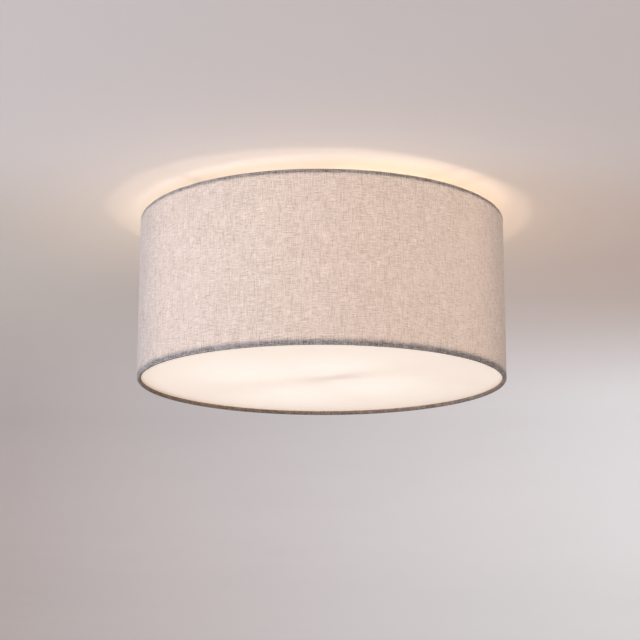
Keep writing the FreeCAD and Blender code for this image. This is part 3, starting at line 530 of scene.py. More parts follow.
# ------------------------------------------------------------------------------------------ finishes
class Finish:
    """A material in the making: its graph, its main shader and the shared effects."""

    def __init__(self, name: str, effects: Effects) -> None:
        """Starts a material with an empty Principled shader.

        Args:
            name: the material's name.
            effects: the shared node groups.
        """
        self.material = bpy.data.materials.new(name)
        self.material.use_nodes = True
        self.material.node_tree.nodes.clear()
        self.effects = effects
        self.g = Graph(self.material.node_tree)
        self.place = self.g.object_place()
        self.shader = self.g.add("ShaderNodeBsdfPrincipled")
        self.g.feed(self.g.add("ShaderNodeOutputMaterial").inputs[0], self.shader.outputs[0])

    def set(self, **sockets: Value) -> None:
        """Feeds the main shader's sockets; an underscore in a name stands for a space.

        Args:
            sockets: values by socket name.
        """
        for key, value in sockets.items():
            self.g.feed(self.shader.inputs[spaced(key)], value)

    def effect(self, group: bpy.types.NodeTree, **inputs: Value) -> Sockets:
        """Places a shared effect with this material's own values.

        Args:
            group: the effect's tree.
            inputs: its inputs by name, with underscores for spaces.

        Returns:
            Its outputs by name.
        """
        node = self.g.add("ShaderNodeGroup")
        node.node_tree = group
        for key, value in inputs.items():
            self.g.feed(node.inputs[spaced(key)], value)
        return {s.name: s for s in node.outputs}

    def grain(self, size: float, patch: float, low: float, high: float) -> Sockets:
        """Places the fine grain.

        Args:
            size: size of a grain.
            patch: size of a patch.
            low: least roughness.
            high: greatest roughness.

        Returns:
            Its outputs by name.
        """
        return self.effect(self.effects.grain, Place=self.place, Grain_Size=size, Patch_Size=patch,
                           Rough_Low=low, Rough_High=high)

    def dust(self, amount: float) -> Socket:
        """The mask of the settled dust."""
        return self.effect(self.effects.dust, Place=self.place, Amount=amount)["Mask"]

    def lamps(self, softness: float) -> Socket:
        """The light of both lamps, spread more evenly by a greater softness."""
        return self.effect(self.effects.lamps, Place=self.place, Softness=softness)["Light"]

    def shine(self, colour: Colour, strength: float, softness: float) -> None:
        """Paints the light that the lamps throw on a piece inside the drum into its emission: painted
        lamplight.

        Args:
            colour: the painted light's colour on this finish.
            strength: its strength, or 0 for none.
            softness: how evenly it is spread.
        """
        # painted lamplight: an emission that stands in for the lamps' light on the piece
        if strength:
            self.set(Emission_Color=self.g.tint(colour, self.lamps(softness)), Emission_Strength=strength)

    def bump(self, height: Value, depth: float, strength: float = 1.0) -> None:
        """Raises the surface by a height.

        Args:
            height: the height's socket, about 0 to 1.
            depth: metres that a height of 1 stands for.
            strength: share of the effect.
        """
        node = self.g.add("ShaderNodeBump")
        node.inputs["Strength"].default_value = strength
        node.inputs["Distance"].default_value = depth
        self.g.feed(node.inputs["Height"], height)
        self.g.feed(self.shader.inputs["Normal"], node.outputs[0])


class Look:
    """What every finish shares: making one material from the shared effects."""

    def make(self, effects: Effects, name: str) -> bpy.types.Material:
        """Builds the material.

        Args:
            effects: the shared node groups.
            name: the material's name.

        Returns:
            The material.
        """
        finish = Finish(name, effects)
        self.fill(finish, finish.g)
        return finish.material

    def fill(self, finish: Finish, g: Graph) -> None:
        """Feeds the main shader; each finish has its own."""
        raise NotImplementedError


@dataclass(frozen=True)
class ClothFinish(Look):
    """Light grey melange cloth, laminated and lit from behind by both lamps.

    With hems it is the wall with its hems, and without them a patch that lies on the wall.
    """

    hems: bool = True
    dark: Colour = (0.180, 0.162, 0.155)
    light: Colour = (0.618, 0.630, 0.686)
    glow: Colour = (0.490, 0.335, 0.236)
    # painted shade with warm painted lamplight on the hems' inner side
    inner_tint: Colour = (0.65, 0.555, 0.475)
    hem_tint: Colour = (0.92, 0.845, 0.79)
    pitch: float = 0.60 * MM
    streak: float = 6.0 * MM
    softness: float = 0.25
    low_hem: Span = (-0.1874, -0.1824)
    top_hem: Span = (-0.0132, -0.0158)
    low_flap: Span = (-0.1822, -0.1808)
    top_flap: Span = (-0.0164, -0.0176)
    low_flap_light: float = 0.86
    top_flap_light: float = 0.90
    patch_light: float = 0.80
    hem_contrast: float = 2.0
    inner_radii: Span = (0.1968, 0.1990)
    sheer: Span = (0.38, 0.81)
    turned_away: Span = (0.42, 0.88)
    turned_light: float = 0.58
    upper: Span = (-0.012, -0.060)
    upper_light: float = 0.94

    def fill(self, finish: Finish, g: Graph) -> None:
        """Feeds the two-tone weave, the darker hems, the painted shade on their inner side and the light
        through the cloth.

        Args:
            finish: the material in the making.
            g: its graph.
        """
        flat = g.add("ShaderNodeUVMap", uv_map="cloth").outputs[0]
        weave = finish.effect(finish.effects.cloth, Place=flat, Thread_Pitch=self.pitch,
                              Streak_Length=self.streak)
        x, y, z = g.split(finish.place)
        through = self.through(g, z)
        contrast = g.ramp(through, 0.0, 1.0, self.hem_contrast, 1.0, smooth=False)
        tone = g.math("MULTIPLY_ADD", g.centred(weave["Tone"]), contrast, 0.5, clamp=True)
        base = g.tint(g.blend(tone, self.dark, self.light), weave["Shade"])
        base = g.tint(base, g.blend(through, self.hem_tint, PLAIN))
        # painted shade: the hems' inner side is darker and warmer, as if lit warmly from inside and shaded
        # by the disc
        outside = g.ramp(g.radius(x, y), *self.inner_radii)
        base = g.tint(base, g.blend(outside, self.inner_tint, PLAIN))
        sheer = g.math("MULTIPLY_ADD", weave["Tone"], *self.sheer)
        facing = g.add("ShaderNodeLayerWeight")
        facing.inputs["Blend"].default_value = 0.5
        grazing = g.ramp(facing.outputs["Facing"], *self.turned_away, 1.0, self.turned_light)
        light = g.times(finish.lamps(self.softness), g.ramp(z, *self.upper, self.upper_light, 1.0))
        level = g.times(g.times(light, through), g.times(sheer, weave["Shade"]))
        finish.set(Base_Color=base, Roughness=0.93, Specular_IOR_Level=0.18,
                   Sheen_Weight=0.12, Sheen_Roughness=0.6,
                   Emission_Color=g.tint(self.glow, g.times(level, grazing)), Emission_Strength=1.0)
        finish.bump(weave["Height"], depth=0.16 * MM, strength=0.7)

    def through(self, g: Graph, z: Socket) -> Socket:
        """How much light comes through the cloth, less where hems and flaps double it.

        Args:
            g: the material's graph.
            z: height of the point.

        Returns:
            The share's socket.
        """
        low, top = g.ramp(z, *self.low_hem), g.ramp(z, *self.top_hem)
        low_flap = g.ramp(z, *self.low_flap, self.low_flap_light, 1.0)
        top_flap = g.ramp(z, *self.top_flap, self.top_flap_light, 1.0)
        through = g.times(g.times(low, low_flap), g.times(top, top_flap))
        return through if self.hems else g.times(through, self.patch_light)


@dataclass(frozen=True)
class OpalFinish(Look):
    """Translucent white sheet, lit by the lamps behind it, with the soft shadow of the hub on it."""

    base: Colour = (0.84, 0.82, 0.79)
    dusty: Colour = (0.62, 0.59, 0.54)
    rim_glow: Colour = (0.465, 0.352, 0.262)
    lamp_glow: Colour = (0.530, 0.440, 0.355)
    shadow_glow: Colour = (0.370, 0.245, 0.175)
    rough: Span = (0.31, 0.42)
    shadow_turn_deg: float = -31.0
    shadow_middle: float = 15 * MM
    shadow_waist: float = 12 * MM
    shadow_spread: float = 0.26
    shadow_ends: Span = (6 * MM, 62 * MM)
    shadow_end_share: float = 0.17
    lobes_at: Tuple[Triple, ...] = (
        (-0.078, -0.040, 0.120), (-0.033, 0.088, 0.112), (0.012, -0.062, 0.105), (0.060, 0.045, 0.112))

    def fill(self, finish: Finish, g: Graph) -> None:
        """Feeds the sheet's faint grain and its glow.

        Args:
            finish: the material in the making.
            g: its graph.
        """
        x, y, _ = g.split(finish.place)
        glow = g.blend(self.lobes(g, x, y), self.rim_glow, self.lamp_glow)
        glow = g.blend(self.shadow(g, x, y), glow, self.shadow_glow)
        # painted light: the glow is a little dimmer towards the rim and towards the +x side
        level = g.ramp(g.radius(x, y), low=50 * MM, high=197 * MM, start=1.02, end=0.95, smooth=False)
        level = g.times(level, g.ramp(x, low=40 * MM, high=200 * MM, start=1.0, end=0.95))
        cloud = g.noise(finish.place, scale=14.0, detail=2.0)
        level = g.times(level, g.math("MULTIPLY_ADD", cloud, 0.06, 0.97))
        grain = finish.grain(0.5 * MM, 40 * MM, *self.rough)
        finish.set(Base_Color=g.blend(finish.dust(0.25), self.base, self.dusty),
                   Roughness=grain["Roughness"], Specular_IOR_Level=0.4,
                   Emission_Color=g.tint(glow, level), Emission_Strength=1.0)
        finish.bump(grain["Height"], depth=0.015 * MM, strength=0.4)

    def shadow(self, g: Graph, x: Socket, y: Socket) -> Socket:
        """Bow-tie shadow under the hub, narrow in the middle and faint at its ends.

        Args:
            g: the material's graph.
            x: place across.
            y: place in depth.

        Returns:
            The shadow's mask.
        """
        turn = math.radians(self.shadow_turn_deg)
        along = g.math("ADD", g.times(x, math.cos(turn)), g.times(y, math.sin(turn)))
        across = g.math("ADD", g.times(x, -math.sin(turn)), g.times(y, math.cos(turn)))
        far = g.math("ABSOLUTE", g.math("SUBTRACT", along, self.shadow_middle))
        width = g.math("MULTIPLY_ADD", far, self.shadow_spread, self.shadow_waist)
        core = g.ramp(g.math("DIVIDE", g.math("ABSOLUTE", across), width), low=1.6, high=0.0)
        return g.times(core, g.ramp(far, *self.shadow_ends, 1.0, self.shadow_end_share))

    def lobes(self, g: Graph, x: Socket, y: Socket) -> Socket:
        """Whiter patches where the globes and the gaps beside the hub light the sheet most.

        Args:
            g: the material's graph.
            x: place across.
            y: place in depth.

        Returns:
            The patches' mask.
        """
        mask: Optional[Socket] = None
        for at_x, at_y, size in self.lobes_at:
            away = g.vector("DISTANCE", g.join(x, y, 0.0), (at_x, at_y, 0.0))
            patch = g.ramp(away, 0.0, size, start=1.0, end=0.0)
            mask = patch if mask is None else g.math("MAXIMUM", mask, patch)
        return mask


@dataclass(frozen=True)
class CoatFinish(Look):
    """Powder coat or paint on steel, slightly orange-peeled, rubbed at its edges and dusty on top."""

    colour: Colour
    rough: float = 0.42
    # lit: strength of the painted lamplight on a piece inside the drum
    lit: float = 0.0
    peel: float = 0.9 * MM
    wear: float = 0.35
    dust: float = 0.3
    shade: float = 0.93
    bare: Colour = (0.42, 0.42, 0.43)
    dusty: Colour = (0.55, 0.53, 0.49)
    # colour of the painted lamplight
    warm: Colour = (1.0, 0.84, 0.68)

    def fill(self, finish: Finish, g: Graph) -> None:
        """Feeds the coat, its rubbed edges, its dust and its painted lamplight.

        Args:
            finish: the material in the making.
            g: its graph.
        """
        grain = finish.grain(self.peel, 25 * MM, self.rough - 0.06, self.rough + 0.08)
        rubbed = finish.effect(finish.effects.wear, Place=finish.place, Amount=self.wear)["Mask"]
        dust = finish.dust(self.dust)
        coat = g.blend(grain["Patches"], tuple(c * self.shade for c in self.colour), self.colour)
        coat = g.blend(rubbed, coat, self.bare)
        finish.set(Base_Color=g.blend(dust, coat, self.dusty),
                   Roughness=g.math("MAXIMUM", grain["Roughness"], g.times(dust, 0.9)),
                   Specular_IOR_Level=0.5, Coat_Roughness=0.25)
        # painted lamplight: an emission that stands in for the lamps' light
        finish.shine(self.warm, self.lit, softness=0.05)
        finish.bump(grain["Height"], depth=0.03 * MM, strength=0.5)


@dataclass(frozen=True)
class MetalFinish(Look):
    """Bare or plated metal with drawn or turned lines, and a cut thread where it has one."""

    colour: Colour
    rough: float
    tarnish: Colour = (0.30, 0.28, 0.25)
    line: Triple = (1.0, 1.0, 1.0)
    line_scale: float = 2600.0
    thread_pitch: float = 0.0
    axis_at: Point = (0.0, 0.0)

    def fill(self, finish: Finish, g: Graph) -> None:
        """Feeds the metal, its stains, and its lines or its thread.

        Args:
            finish: the material in the making.
            g: its graph.
        """
        stretched = g.vector("MULTIPLY", finish.place, tuple(self.line_scale * v for v in self.line))
        drawn = g.noise(stretched, scale=1.0, detail=2.0)
        grain = finish.grain(0.4 * MM, 9 * MM, self.rough - 0.07, self.rough + 0.12)
        stain = g.ramp(g.noise(finish.place, scale=190.0, detail=4.0), low=0.56, high=0.78, end=0.35)
        colour = g.blend(stain, self.colour, self.tarnish)
        height, depth = drawn, 0.006 * MM
        if self.thread_pitch:
            centred = g.vector("SUBTRACT", finish.place, (*self.axis_at, 0.0))
            cut = finish.effect(finish.effects.thread, Place=centred, Pitch=self.thread_pitch)
            colour = g.blend(g.times(cut["Groove"], 0.6), colour, self.tarnish)
            height, depth = cut["Height"], 0.45 * self.thread_pitch
        finish.set(Base_Color=colour, Metallic=1.0,
                   Roughness=g.math("MULTIPLY_ADD", drawn, 0.08, grain["Roughness"]))
        finish.bump(height, depth, strength=0.8)


@dataclass(frozen=True)
class MouldedFinish(Look):
    """Moulded plastic or glazed ceramic: faint grain, soft gloss, dust on top."""

    colour: Colour
    rough: float
    coat: float = 0.0
    # lit: strength of the painted lamplight on a piece inside the drum
    lit: float = 0.0
    grain: float = 0.35 * MM
    dust: float = 0.2
    aged: Colour = (0.97, 0.95, 0.91)
    dusty: Colour = (0.52, 0.50, 0.46)
    # colour of the painted lamplight
    warm: Colour = (1.0, 0.85, 0.70)

    def fill(self, finish: Finish, g: Graph) -> None:
        """Feeds the moulding, slightly aged in patches, its dust and its painted lamplight.

        Args:
            finish: the material in the making.
            g: its graph.
        """
        grain = finish.grain(self.grain, 14 * MM, self.rough - 0.06, self.rough + 0.08)
        aged = tuple(c * f for c, f in zip(self.colour, self.aged))
        tone = g.blend(g.ramp(grain["Patches"], low=0.35, high=0.65), aged, self.colour)
        finish.set(Base_Color=g.blend(finish.dust(self.dust), tone, self.dusty),
                   Roughness=grain["Roughness"], Coat_Weight=self.coat, Coat_Roughness=0.12)
        # painted lamplight: an emission that stands in for the lamps' light
        finish.shine(self.warm, self.lit, softness=0.03)
        finish.bump(grain["Height"], depth=0.02 * MM, strength=0.5)


@dataclass(frozen=True)
class GlobeFinish(Look):
    """Opal globe of a lamp that is on: brightest in the middle, warmer towards its neck.

    Its neck is at start from the lamp axis's middle, and the globe is length long.
    """

    start: float
    length: float
    body: Colour = (0.55, 0.53, 0.50)
    glow: Colour = (1.0, 0.90, 0.77)
    neck: Colour = (0.95, 0.74, 0.52)
    neck_share: float = 0.45
    strength: float = 0.86

    def fill(self, finish: Finish, g: Graph) -> None:
        """Feeds the globe's glass and its light.

        Args:
            finish: the material in the making.
            g: its graph.
        """
        x, y, _ = g.split(finish.place)
        along = g.math("ABSOLUTE", g.times(g.math("ADD", x, y), DIAGONAL))
        share = g.ramp(along, self.start, self.start + self.neck_share * self.length)
        cloud = g.noise(finish.place, scale=60.0, detail=2.0)
        level = g.math("MULTIPLY_ADD", cloud, 0.05, g.math("MULTIPLY_ADD", share, 0.14, 0.80))
        grain = finish.grain(0.3 * MM, 12 * MM, 0.30, 0.42)
        finish.set(Base_Color=self.body, Roughness=grain["Roughness"], Emission_Strength=self.strength,
                   Emission_Color=g.tint(g.blend(share, self.neck, self.glow), level))
        finish.bump(grain["Height"], depth=0.01 * MM, strength=0.3)


@dataclass(frozen=True)
class WireFinish(Look):
    """Insulation of a lead, plain or with a second colour's stripe wound along it."""

    colour: Colour
    stripe: Optional[Colour] = None
    fade: float = 0.8
    stripe_rise: float = 260.0
    stripe_turn: float = 520.0

    def fill(self, finish: Finish, g: Graph) -> None:
        """Feeds the insulation and its stripe.

        Args:
            finish: the material in the making.
            g: its graph.
        """
        grain = finish.grain(0.5 * MM, 8 * MM, 0.34, 0.50)
        colour = g.blend(grain["Patches"], tuple(c * self.fade for c in self.colour), self.colour)
        if self.stripe:
            x, y, z = g.split(finish.place)
            around = g.times(g.math("ADD", x, y), self.stripe_turn)
            lean = g.math("ADD", g.times(z, self.stripe_rise), around)
            colour = g.blend(g.ramp(g.math("SINE", lean), low=-0.08, high=0.08), colour, self.stripe)
        finish.set(Base_Color=colour, Roughness=grain["Roughness"], Coat_Weight=0.08, Coat_Roughness=0.3)
        finish.bump(grain["Height"], depth=0.02 * MM, strength=0.4)


class Palette:
    """Every finish of the light, each made once."""

    steel: Colour = (0.60, 0.61, 0.62)
    stud_x: float = 42 * MM
    stud_pitch: float = 0.7 * MM
    tube_pitch: float = 1.0 * MM

    def __init__(self) -> None:
        """Makes the materials."""
        self.effects = Effects()
        steel = self.steel
        self.cloth = self.made("drum_cloth", ClothFinish())
        self.patch = self.made("seam_cloth", ClothFinish(hems=False))
        self.opal = self.made("opal_sheet", OpalFinish())
        # lit sets each finish's painted lamplight; the liner film gets the most
        self.white = self.made("white_coat", CoatFinish((0.72, 0.72, 0.71), lit=0.04))
        self.canopy = self.made("canopy_coat", CoatFinish((0.76, 0.76, 0.75), 0.38, lit=0.03))
        self.zinc = self.made("zinc_plate", MetalFinish(steel, 0.34, line=(1.0, 0.05, 1.0)))
        self.tube = self.made("threaded_tube", MetalFinish(steel, 0.34, thread_pitch=self.tube_pitch))
        self.stud = self.made("threaded_stud", MetalFinish(
            steel, 0.34, thread_pitch=self.stud_pitch, axis_at=(self.stud_x, 0.0)))
        self.nickel = self.made("nickel_plate", MetalFinish((0.66, 0.63, 0.58), 0.26))
        self.brass = self.made("brass", MetalFinish((0.70, 0.50, 0.22), 0.30, (0.25, 0.15, 0.06)))
        self.shell = self.made("rolled_shell", MetalFinish((0.68, 0.68, 0.66), 0.24))
        self.cap = self.made("rolled_aluminium", MetalFinish((0.72, 0.73, 0.74), 0.27))
        self.plastic = self.made("holder_moulding", MouldedFinish((0.70, 0.69, 0.66), 0.42, lit=0.03))
        self.housing = self.made("bulb_moulding", MouldedFinish((0.76, 0.76, 0.75), 0.38, 0.1, lit=0.05))
        self.ceramic = self.made("glazed_base", MouldedFinish((0.74, 0.72, 0.66), 0.30, 0.4))
        self.nylon = self.made("natural_nylon", MouldedFinish((0.76, 0.75, 0.69), 0.50))
        self.film = self.made("liner_film", MouldedFinish(
            (0.72, 0.69, 0.63), 0.55, lit=0.30, grain=1.5 * MM, dust=0.1))
        self.glass = self.made("black_insulator", MouldedFinish((0.02, 0.02, 0.024), 0.16, 0.8))
        self.live = self.made("brown_insulation", WireFinish((0.20, 0.09, 0.04)))
        self.neutral = self.made("blue_insulation", WireFinish((0.03, 0.13, 0.42)))
        self.earth = self.made("striped_insulation", WireFinish((0.10, 0.32, 0.07), (0.72, 0.62, 0.06)))

    def made(self, name: str, look: Look) -> bpy.types.Material:
        """The material of a finish, under a name."""
        return look.make(self.effects, name)


# ------------------------------------------------------------------------------------------ meshes
def put(name: str, data: bpy.types.ID, *materials: bpy.types.Material) -> bpy.types.Object:
    """Puts a mesh, a light or a camera in the scene.

    Args:
        name: the object's name.
        data: what it shows.
        materials: a mesh's materials.

    Returns:
        The new object.
    """
    piece = bpy.data.objects.new(name, data)
    for material in materials:
        data.materials.append(material)
    bpy.context.scene.collection.objects.link(piece)
    return piece


def mesh_of(name: str, bm: bmesh.types.BMesh) -> bpy.types.Mesh:
    """Makes a mesh of a finished bmesh, and frees the bmesh.

    Args:
        name: the mesh's name.
        bm: the bmesh.

    Returns:
        The mesh.
    """
    mesh = bpy.data.meshes.new(name)
    bm.to_mesh(mesh)
    bm.free()
    return mesh


def turned(name: str, profile: Sequence[Point], steps: int, start: float = 0.0, end: float = FULL_TURN,
           shape: Optional[Callable[[float, float, float], Point]] = None,
           uv: Optional[Callable[[float, int], Point]] = None) -> bpy.types.Mesh:
    """Turns a closed profile about the Z axis.

    Args:
        name: the mesh's name.
        profile: (radius, height) points of the loop.
        steps: faces round the turn.
        start: first angle in radians.
        end: last angle in radians.
        shape: changes (angle, radius, height) to another (radius, height).
        uv: gives the cloth place of (angle, index of the profile's point).

    Returns:
        The mesh, with smooth faces.
    """
    bm = bmesh.new()
    whole = abs(end - start - FULL_TURN) < 1e-9
    angles = [start + (end - start) * i / steps for i in range(steps + 1)]
    rings: List[List[bmesh.types.BMVert]] = []
    for angle in angles[:-1] if whole else angles:
        places = [shape(angle, *point) if shape else point for point in profile]
        rings.append([bm.verts.new((r * math.cos(angle), r * math.sin(angle), z)) for r, z in places])
    layer = bm.loops.layers.uv.new("cloth") if uv else None
    for i, (angle, turn) in enumerate(zip(angles, angles[1:])):
        one, two = rings[i], rings[(i + 1) % len(rings)]
        for k in range(len(profile)):
            n = (k + 1) % len(profile)
            face = bm.faces.new((one[k], two[k], two[n], one[n]))
            face.smooth = True
            if layer:
                corners = ((angle, k), (turn, k), (turn, k + 1), (angle, k + 1))
                for loop, corner in zip(face.loops, corners):
                    loop[layer].uv = uv(*corner)
    if not whole:
        bm.faces.new(list(reversed(rings[0])))
        bm.faces.new(rings[-1])
    bmesh.ops.recalc_face_normals(bm, faces=bm.faces)
    return mesh_of(name, bm)


def arc(centre: Point, radius: float, start: float, end: float, steps: int) -> List[Point]:
    """Points on an arc in the (radius, height) plane.

    Args:
        centre: the arc's centre.
        radius: its radius.
        start: first angle in degrees.
        end: last angle in degrees.
        steps: number of spans.

    Returns:
        The points, both ends included.
    """
    angles = [math.radians(start + (end - start) * i / steps) for i in range(steps + 1)]
    return [(centre[0] + radius * math.cos(a), centre[1] + radius * math.sin(a)) for a in angles]


# ------------------------------------------------------------------------------------------ sub-assemblies
@dataclass
class Assembly:
    """What every sub-assembly has: the CAD nodes and the finishes."""

    nodes: Dict[str, bpy.types.Object]
    looks: Palette

    def report(self, *pieces: str) -> None:
        """Logs pieces as they are finished."""
        for piece in pieces:
            LOG.info("%s: %s", type(self).__name__, piece)

    def coat(self, material: bpy.types.Material, *names: str) -> None:
        """Gives CAD nodes a finish and reports them.

        Args:
            material: the finish.
            names: the nodes' names.
        """
        for name in names:
            slots = self.nodes[name].material_slots
            if not slots:
                self.nodes[name].data.materials.append(material)
            for held in slots:
                held.material = material
        self.report(*names)

    def soften(self, width: float, *names: str) -> None:
        """Breaks the sharp edges of CAD nodes with a narrow bevel.

        Args:
            width: the bevel's width.
            names: the nodes' names.
        """
        for name in names:
            bevel = self.nodes[name].modifiers.new("broken_edges", "BEVEL")
            bevel.width = width
            bevel.segments = 2
            bevel.limit_method = "ANGLE"
            bevel.angle_limit = math.radians(40)
            bevel.use_clamp_overlap = True
            bevel.harden_normals = False


@dataclass
class Shade(Assembly):
    """Cloth turned round both hoops, with the liner behind it and the lap seam at the back."""

    radius: float = 200 * MM
    thickness: float = 0.5 * MM
    liner: float = 0.3 * MM
    wire: float = 3.0 * MM
    top: float = -10 * MM
    height: float = 180 * MM
    top_depth: float = 7.0 * MM
    low_depth: float = 8.5 * MM
    slit_half: float = 2.05 * MM
    wave_height: float = 0.05 * MM
    wave_depth: float = 12 * MM
    waves: Tuple[Triple, ...] = ((1.0, 23, 1.3), (0.6, 57, 0.0), (0.4, 131, 0.7))
    seam_width: float = 14 * MM
    seam_rise: float = 0.45 * MM
    seam_foot: float = 0.02 * MM
    seam_least: float = 0.12
    seam_taper: float = 7.0
    seam_ripples: Tuple[Point, ...] = ((0.004, 700.0), (0.003, 1900.0))
    weave_shift: float = 0.31
    steps: int = 720
    seam_steps: int = 28
    wall_steps: int = 40
    seam_wall_steps: int = 60
    bend_steps: int = 30
    flap_steps: int = 6
    cloth: Optional[bpy.types.Object] = None

    @property
    def bead(self) -> float:
        """Radius of a hem's bead: half the wire with the liner and the cloth on it."""
        return self.wire / 2 + self.liner + self.thickness

    @property
    def seam_half(self) -> float:
        """Half the seam's width as an angle."""
        return self.seam_width / 2 / self.radius

    def hem(self, rim: Rim) -> Tuple[List[Point], List[Point]]:
        """Outer and inner lines of the cloth round one hoop, from the wall to the flap's end.

        Args:
            rim: which hem.

        Returns:
            Points of the outer line and of the inner line, the same number of each.
        """
        edge, depth = self.top, self.top_depth
        if rim is Rim.LOW:
            edge, depth = self.top - self.height, self.low_depth
        hoop = (self.radius - self.bead, edge + rim.value * self.bead)
        flap = self.radius - 2 * self.thickness - self.liner
        sweep = 360 - math.degrees(math.acos((flap - hoop[0]) / self.bead))
        lines = []
        for size, wall in ((self.bead, flap), (self.bead - self.thickness, flap + self.thickness)):
            bend = arc(hoop, size, 0, -sweep if rim is Rim.LOW else sweep, self.bend_steps)
            start, end = bend[-1][1], edge + rim.value * depth
            lines.append(bend + [(wall, start + (end - start) * k / self.flap_steps)
                                 for k in range(1, self.flap_steps + 1)])
        return lines[0], lines[1]

    def profile(self) -> Tuple[List[Point], List[float]]:
        """The cloth's section as a loop, and how far up the flat cloth each point lies.

        Returns:
            The points, and their places along the cloth.
        """
        low_out, low_in = self.hem(Rim.LOW)
        top_out, top_in = self.hem(Rim.TOP)
        foot, head = low_out[0][1], top_out[0][1]
        levels = [foot + (head - foot) * i / self.wall_steps for i in range(1, self.wall_steps)]
        outer = list(reversed(low_out)) + [(self.radius, z) for z in levels] + top_out
        inner = list(reversed(low_in)) + [(self.radius - self.thickness, z) for z in levels] + top_in
        places = [0.0]
        for one, two in zip(outer, outer[1:]):
            places.append(places[-1] + math.dist(one, two))
        return outer + list(reversed(inner)), places + list(reversed(places)) + [0.0]

    def uneven(self, angle: float, radius: float, height: float) -> Point:
        """Slight waviness of the turned hems, within two tenths of a millimetre.

        Args:
            angle: angle of the point.
            radius: its radius.
            height: its height.

        Returns:
            The point's new radius and its height.
        """
        from_edge = min(self.top - height, height - self.top + self.height)
        near_edge = max(0.0, 1 - from_edge / self.wave_depth)
        wave = sum(size * math.sin(count * angle + shift) for size, count, shift in self.waves)
        return radius - self.wave_height * (wave + 2.0) * near_edge, height

    def feather(self, angle: float, radius: float, height: float) -> Point:
        """Presses the seam's long edges down onto the wall, along a slightly uneven line.

        Args:
            angle: angle of the point.
            radius: its radius.
            height: its height.

        Returns:
            The point's new radius and its height.
        """
        ragged = sum(size * math.sin(height * count) for size, count in self.seam_ripples)
        share = max(0.0, 1 - abs(angle - math.pi / 2) / self.seam_half + ragged)
        lift = max(self.seam_least, min(1.0, share * self.seam_taper))
        return self.radius + self.seam_foot + (radius - self.radius - self.seam_foot) * lift, height

    def build(self) -> None:
        """Makes the cloth and its seam."""
        loop, places = self.profile()
        mesh = turned("drum_cloth", loop, self.steps, shape=self.uneven,
                      uv=lambda angle, k: (angle * self.radius, places[k]))
        cloth = put("drum_cloth", mesh, self.looks.cloth)
        self.cut_slits(cloth)
        self.cloth = cloth
        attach(cloth, "fixture")
        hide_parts("shade_fabric")
        seam = self.seam()
        self.report("drum_cloth", "drum_seam")

    def cut_slits(self, cloth: bpy.types.Object) -> None:
        """Opens the top hem where each arm goes through it to the hoop.

        Args:
            cloth: the cloth's object.
        """
        bm = bmesh.new()
        bm.from_mesh(cloth.data)
        doomed = []
        for face in bm.faces:
            at = face.calc_center_median()
            beside_arm = min(abs(at.x - at.y), abs(at.x + at.y)) * DIAGONAL < self.slit_half
            beside_hoop = abs(at.z - self.top + self.bead) <= self.slit_half
            if beside_arm and beside_hoop and math.hypot(at.x, at.y) <= self.radius - self.bead:
                doomed.append(face)
        bmesh.ops.delete(bm, geom=doomed, context="FACES")
        bm.to_mesh(cloth.data)
        bm.free()

    def seam(self) -> bpy.types.Object:
        """Makes the lap where the cloth's ends overlap, feathered at both edges.

        Returns:
            The seam's object.
        """
        low, high = self.top - self.height + self.bead, self.top - self.bead
        foot, rise = self.radius + self.seam_foot, self.radius + self.seam_rise
        levels = [low + (high - low) * i / self.seam_wall_steps for i in range(1, self.seam_wall_steps)]
        section = [(foot, low), *((rise, z) for z in (low, *levels, high)), (foot, high)]
        middle, half = math.pi / 2, self.seam_half
        mesh = turned("drum_seam", section, self.seam_steps, middle - half, middle + half,
                      shape=self.feather, uv=lambda angle, k: (angle * self.radius + self.weave_shift,
                                                               section[k % len(section)][1]))
        piece = put("drum_seam", mesh, self.looks.patch)
        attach(piece, "fixture")
        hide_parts("shade_seam")
        return piece

    def dress(self) -> None:
        """Gives the liner and the hoops their finishes."""
        self.coat(self.looks.film, "shade_liner")
        self.coat(self.looks.white, "top_hoop", "bottom_hoop")


@dataclass
class Diffuser(Assembly):
    """The opal disc that lies on the lower hem."""

    edge: float = 0.4 * MM

    def dress(self) -> None:
        """Gives the disc its finish."""
        self.coat(self.looks.opal, "diffuser")
        self.soften(self.edge, "diffuser")


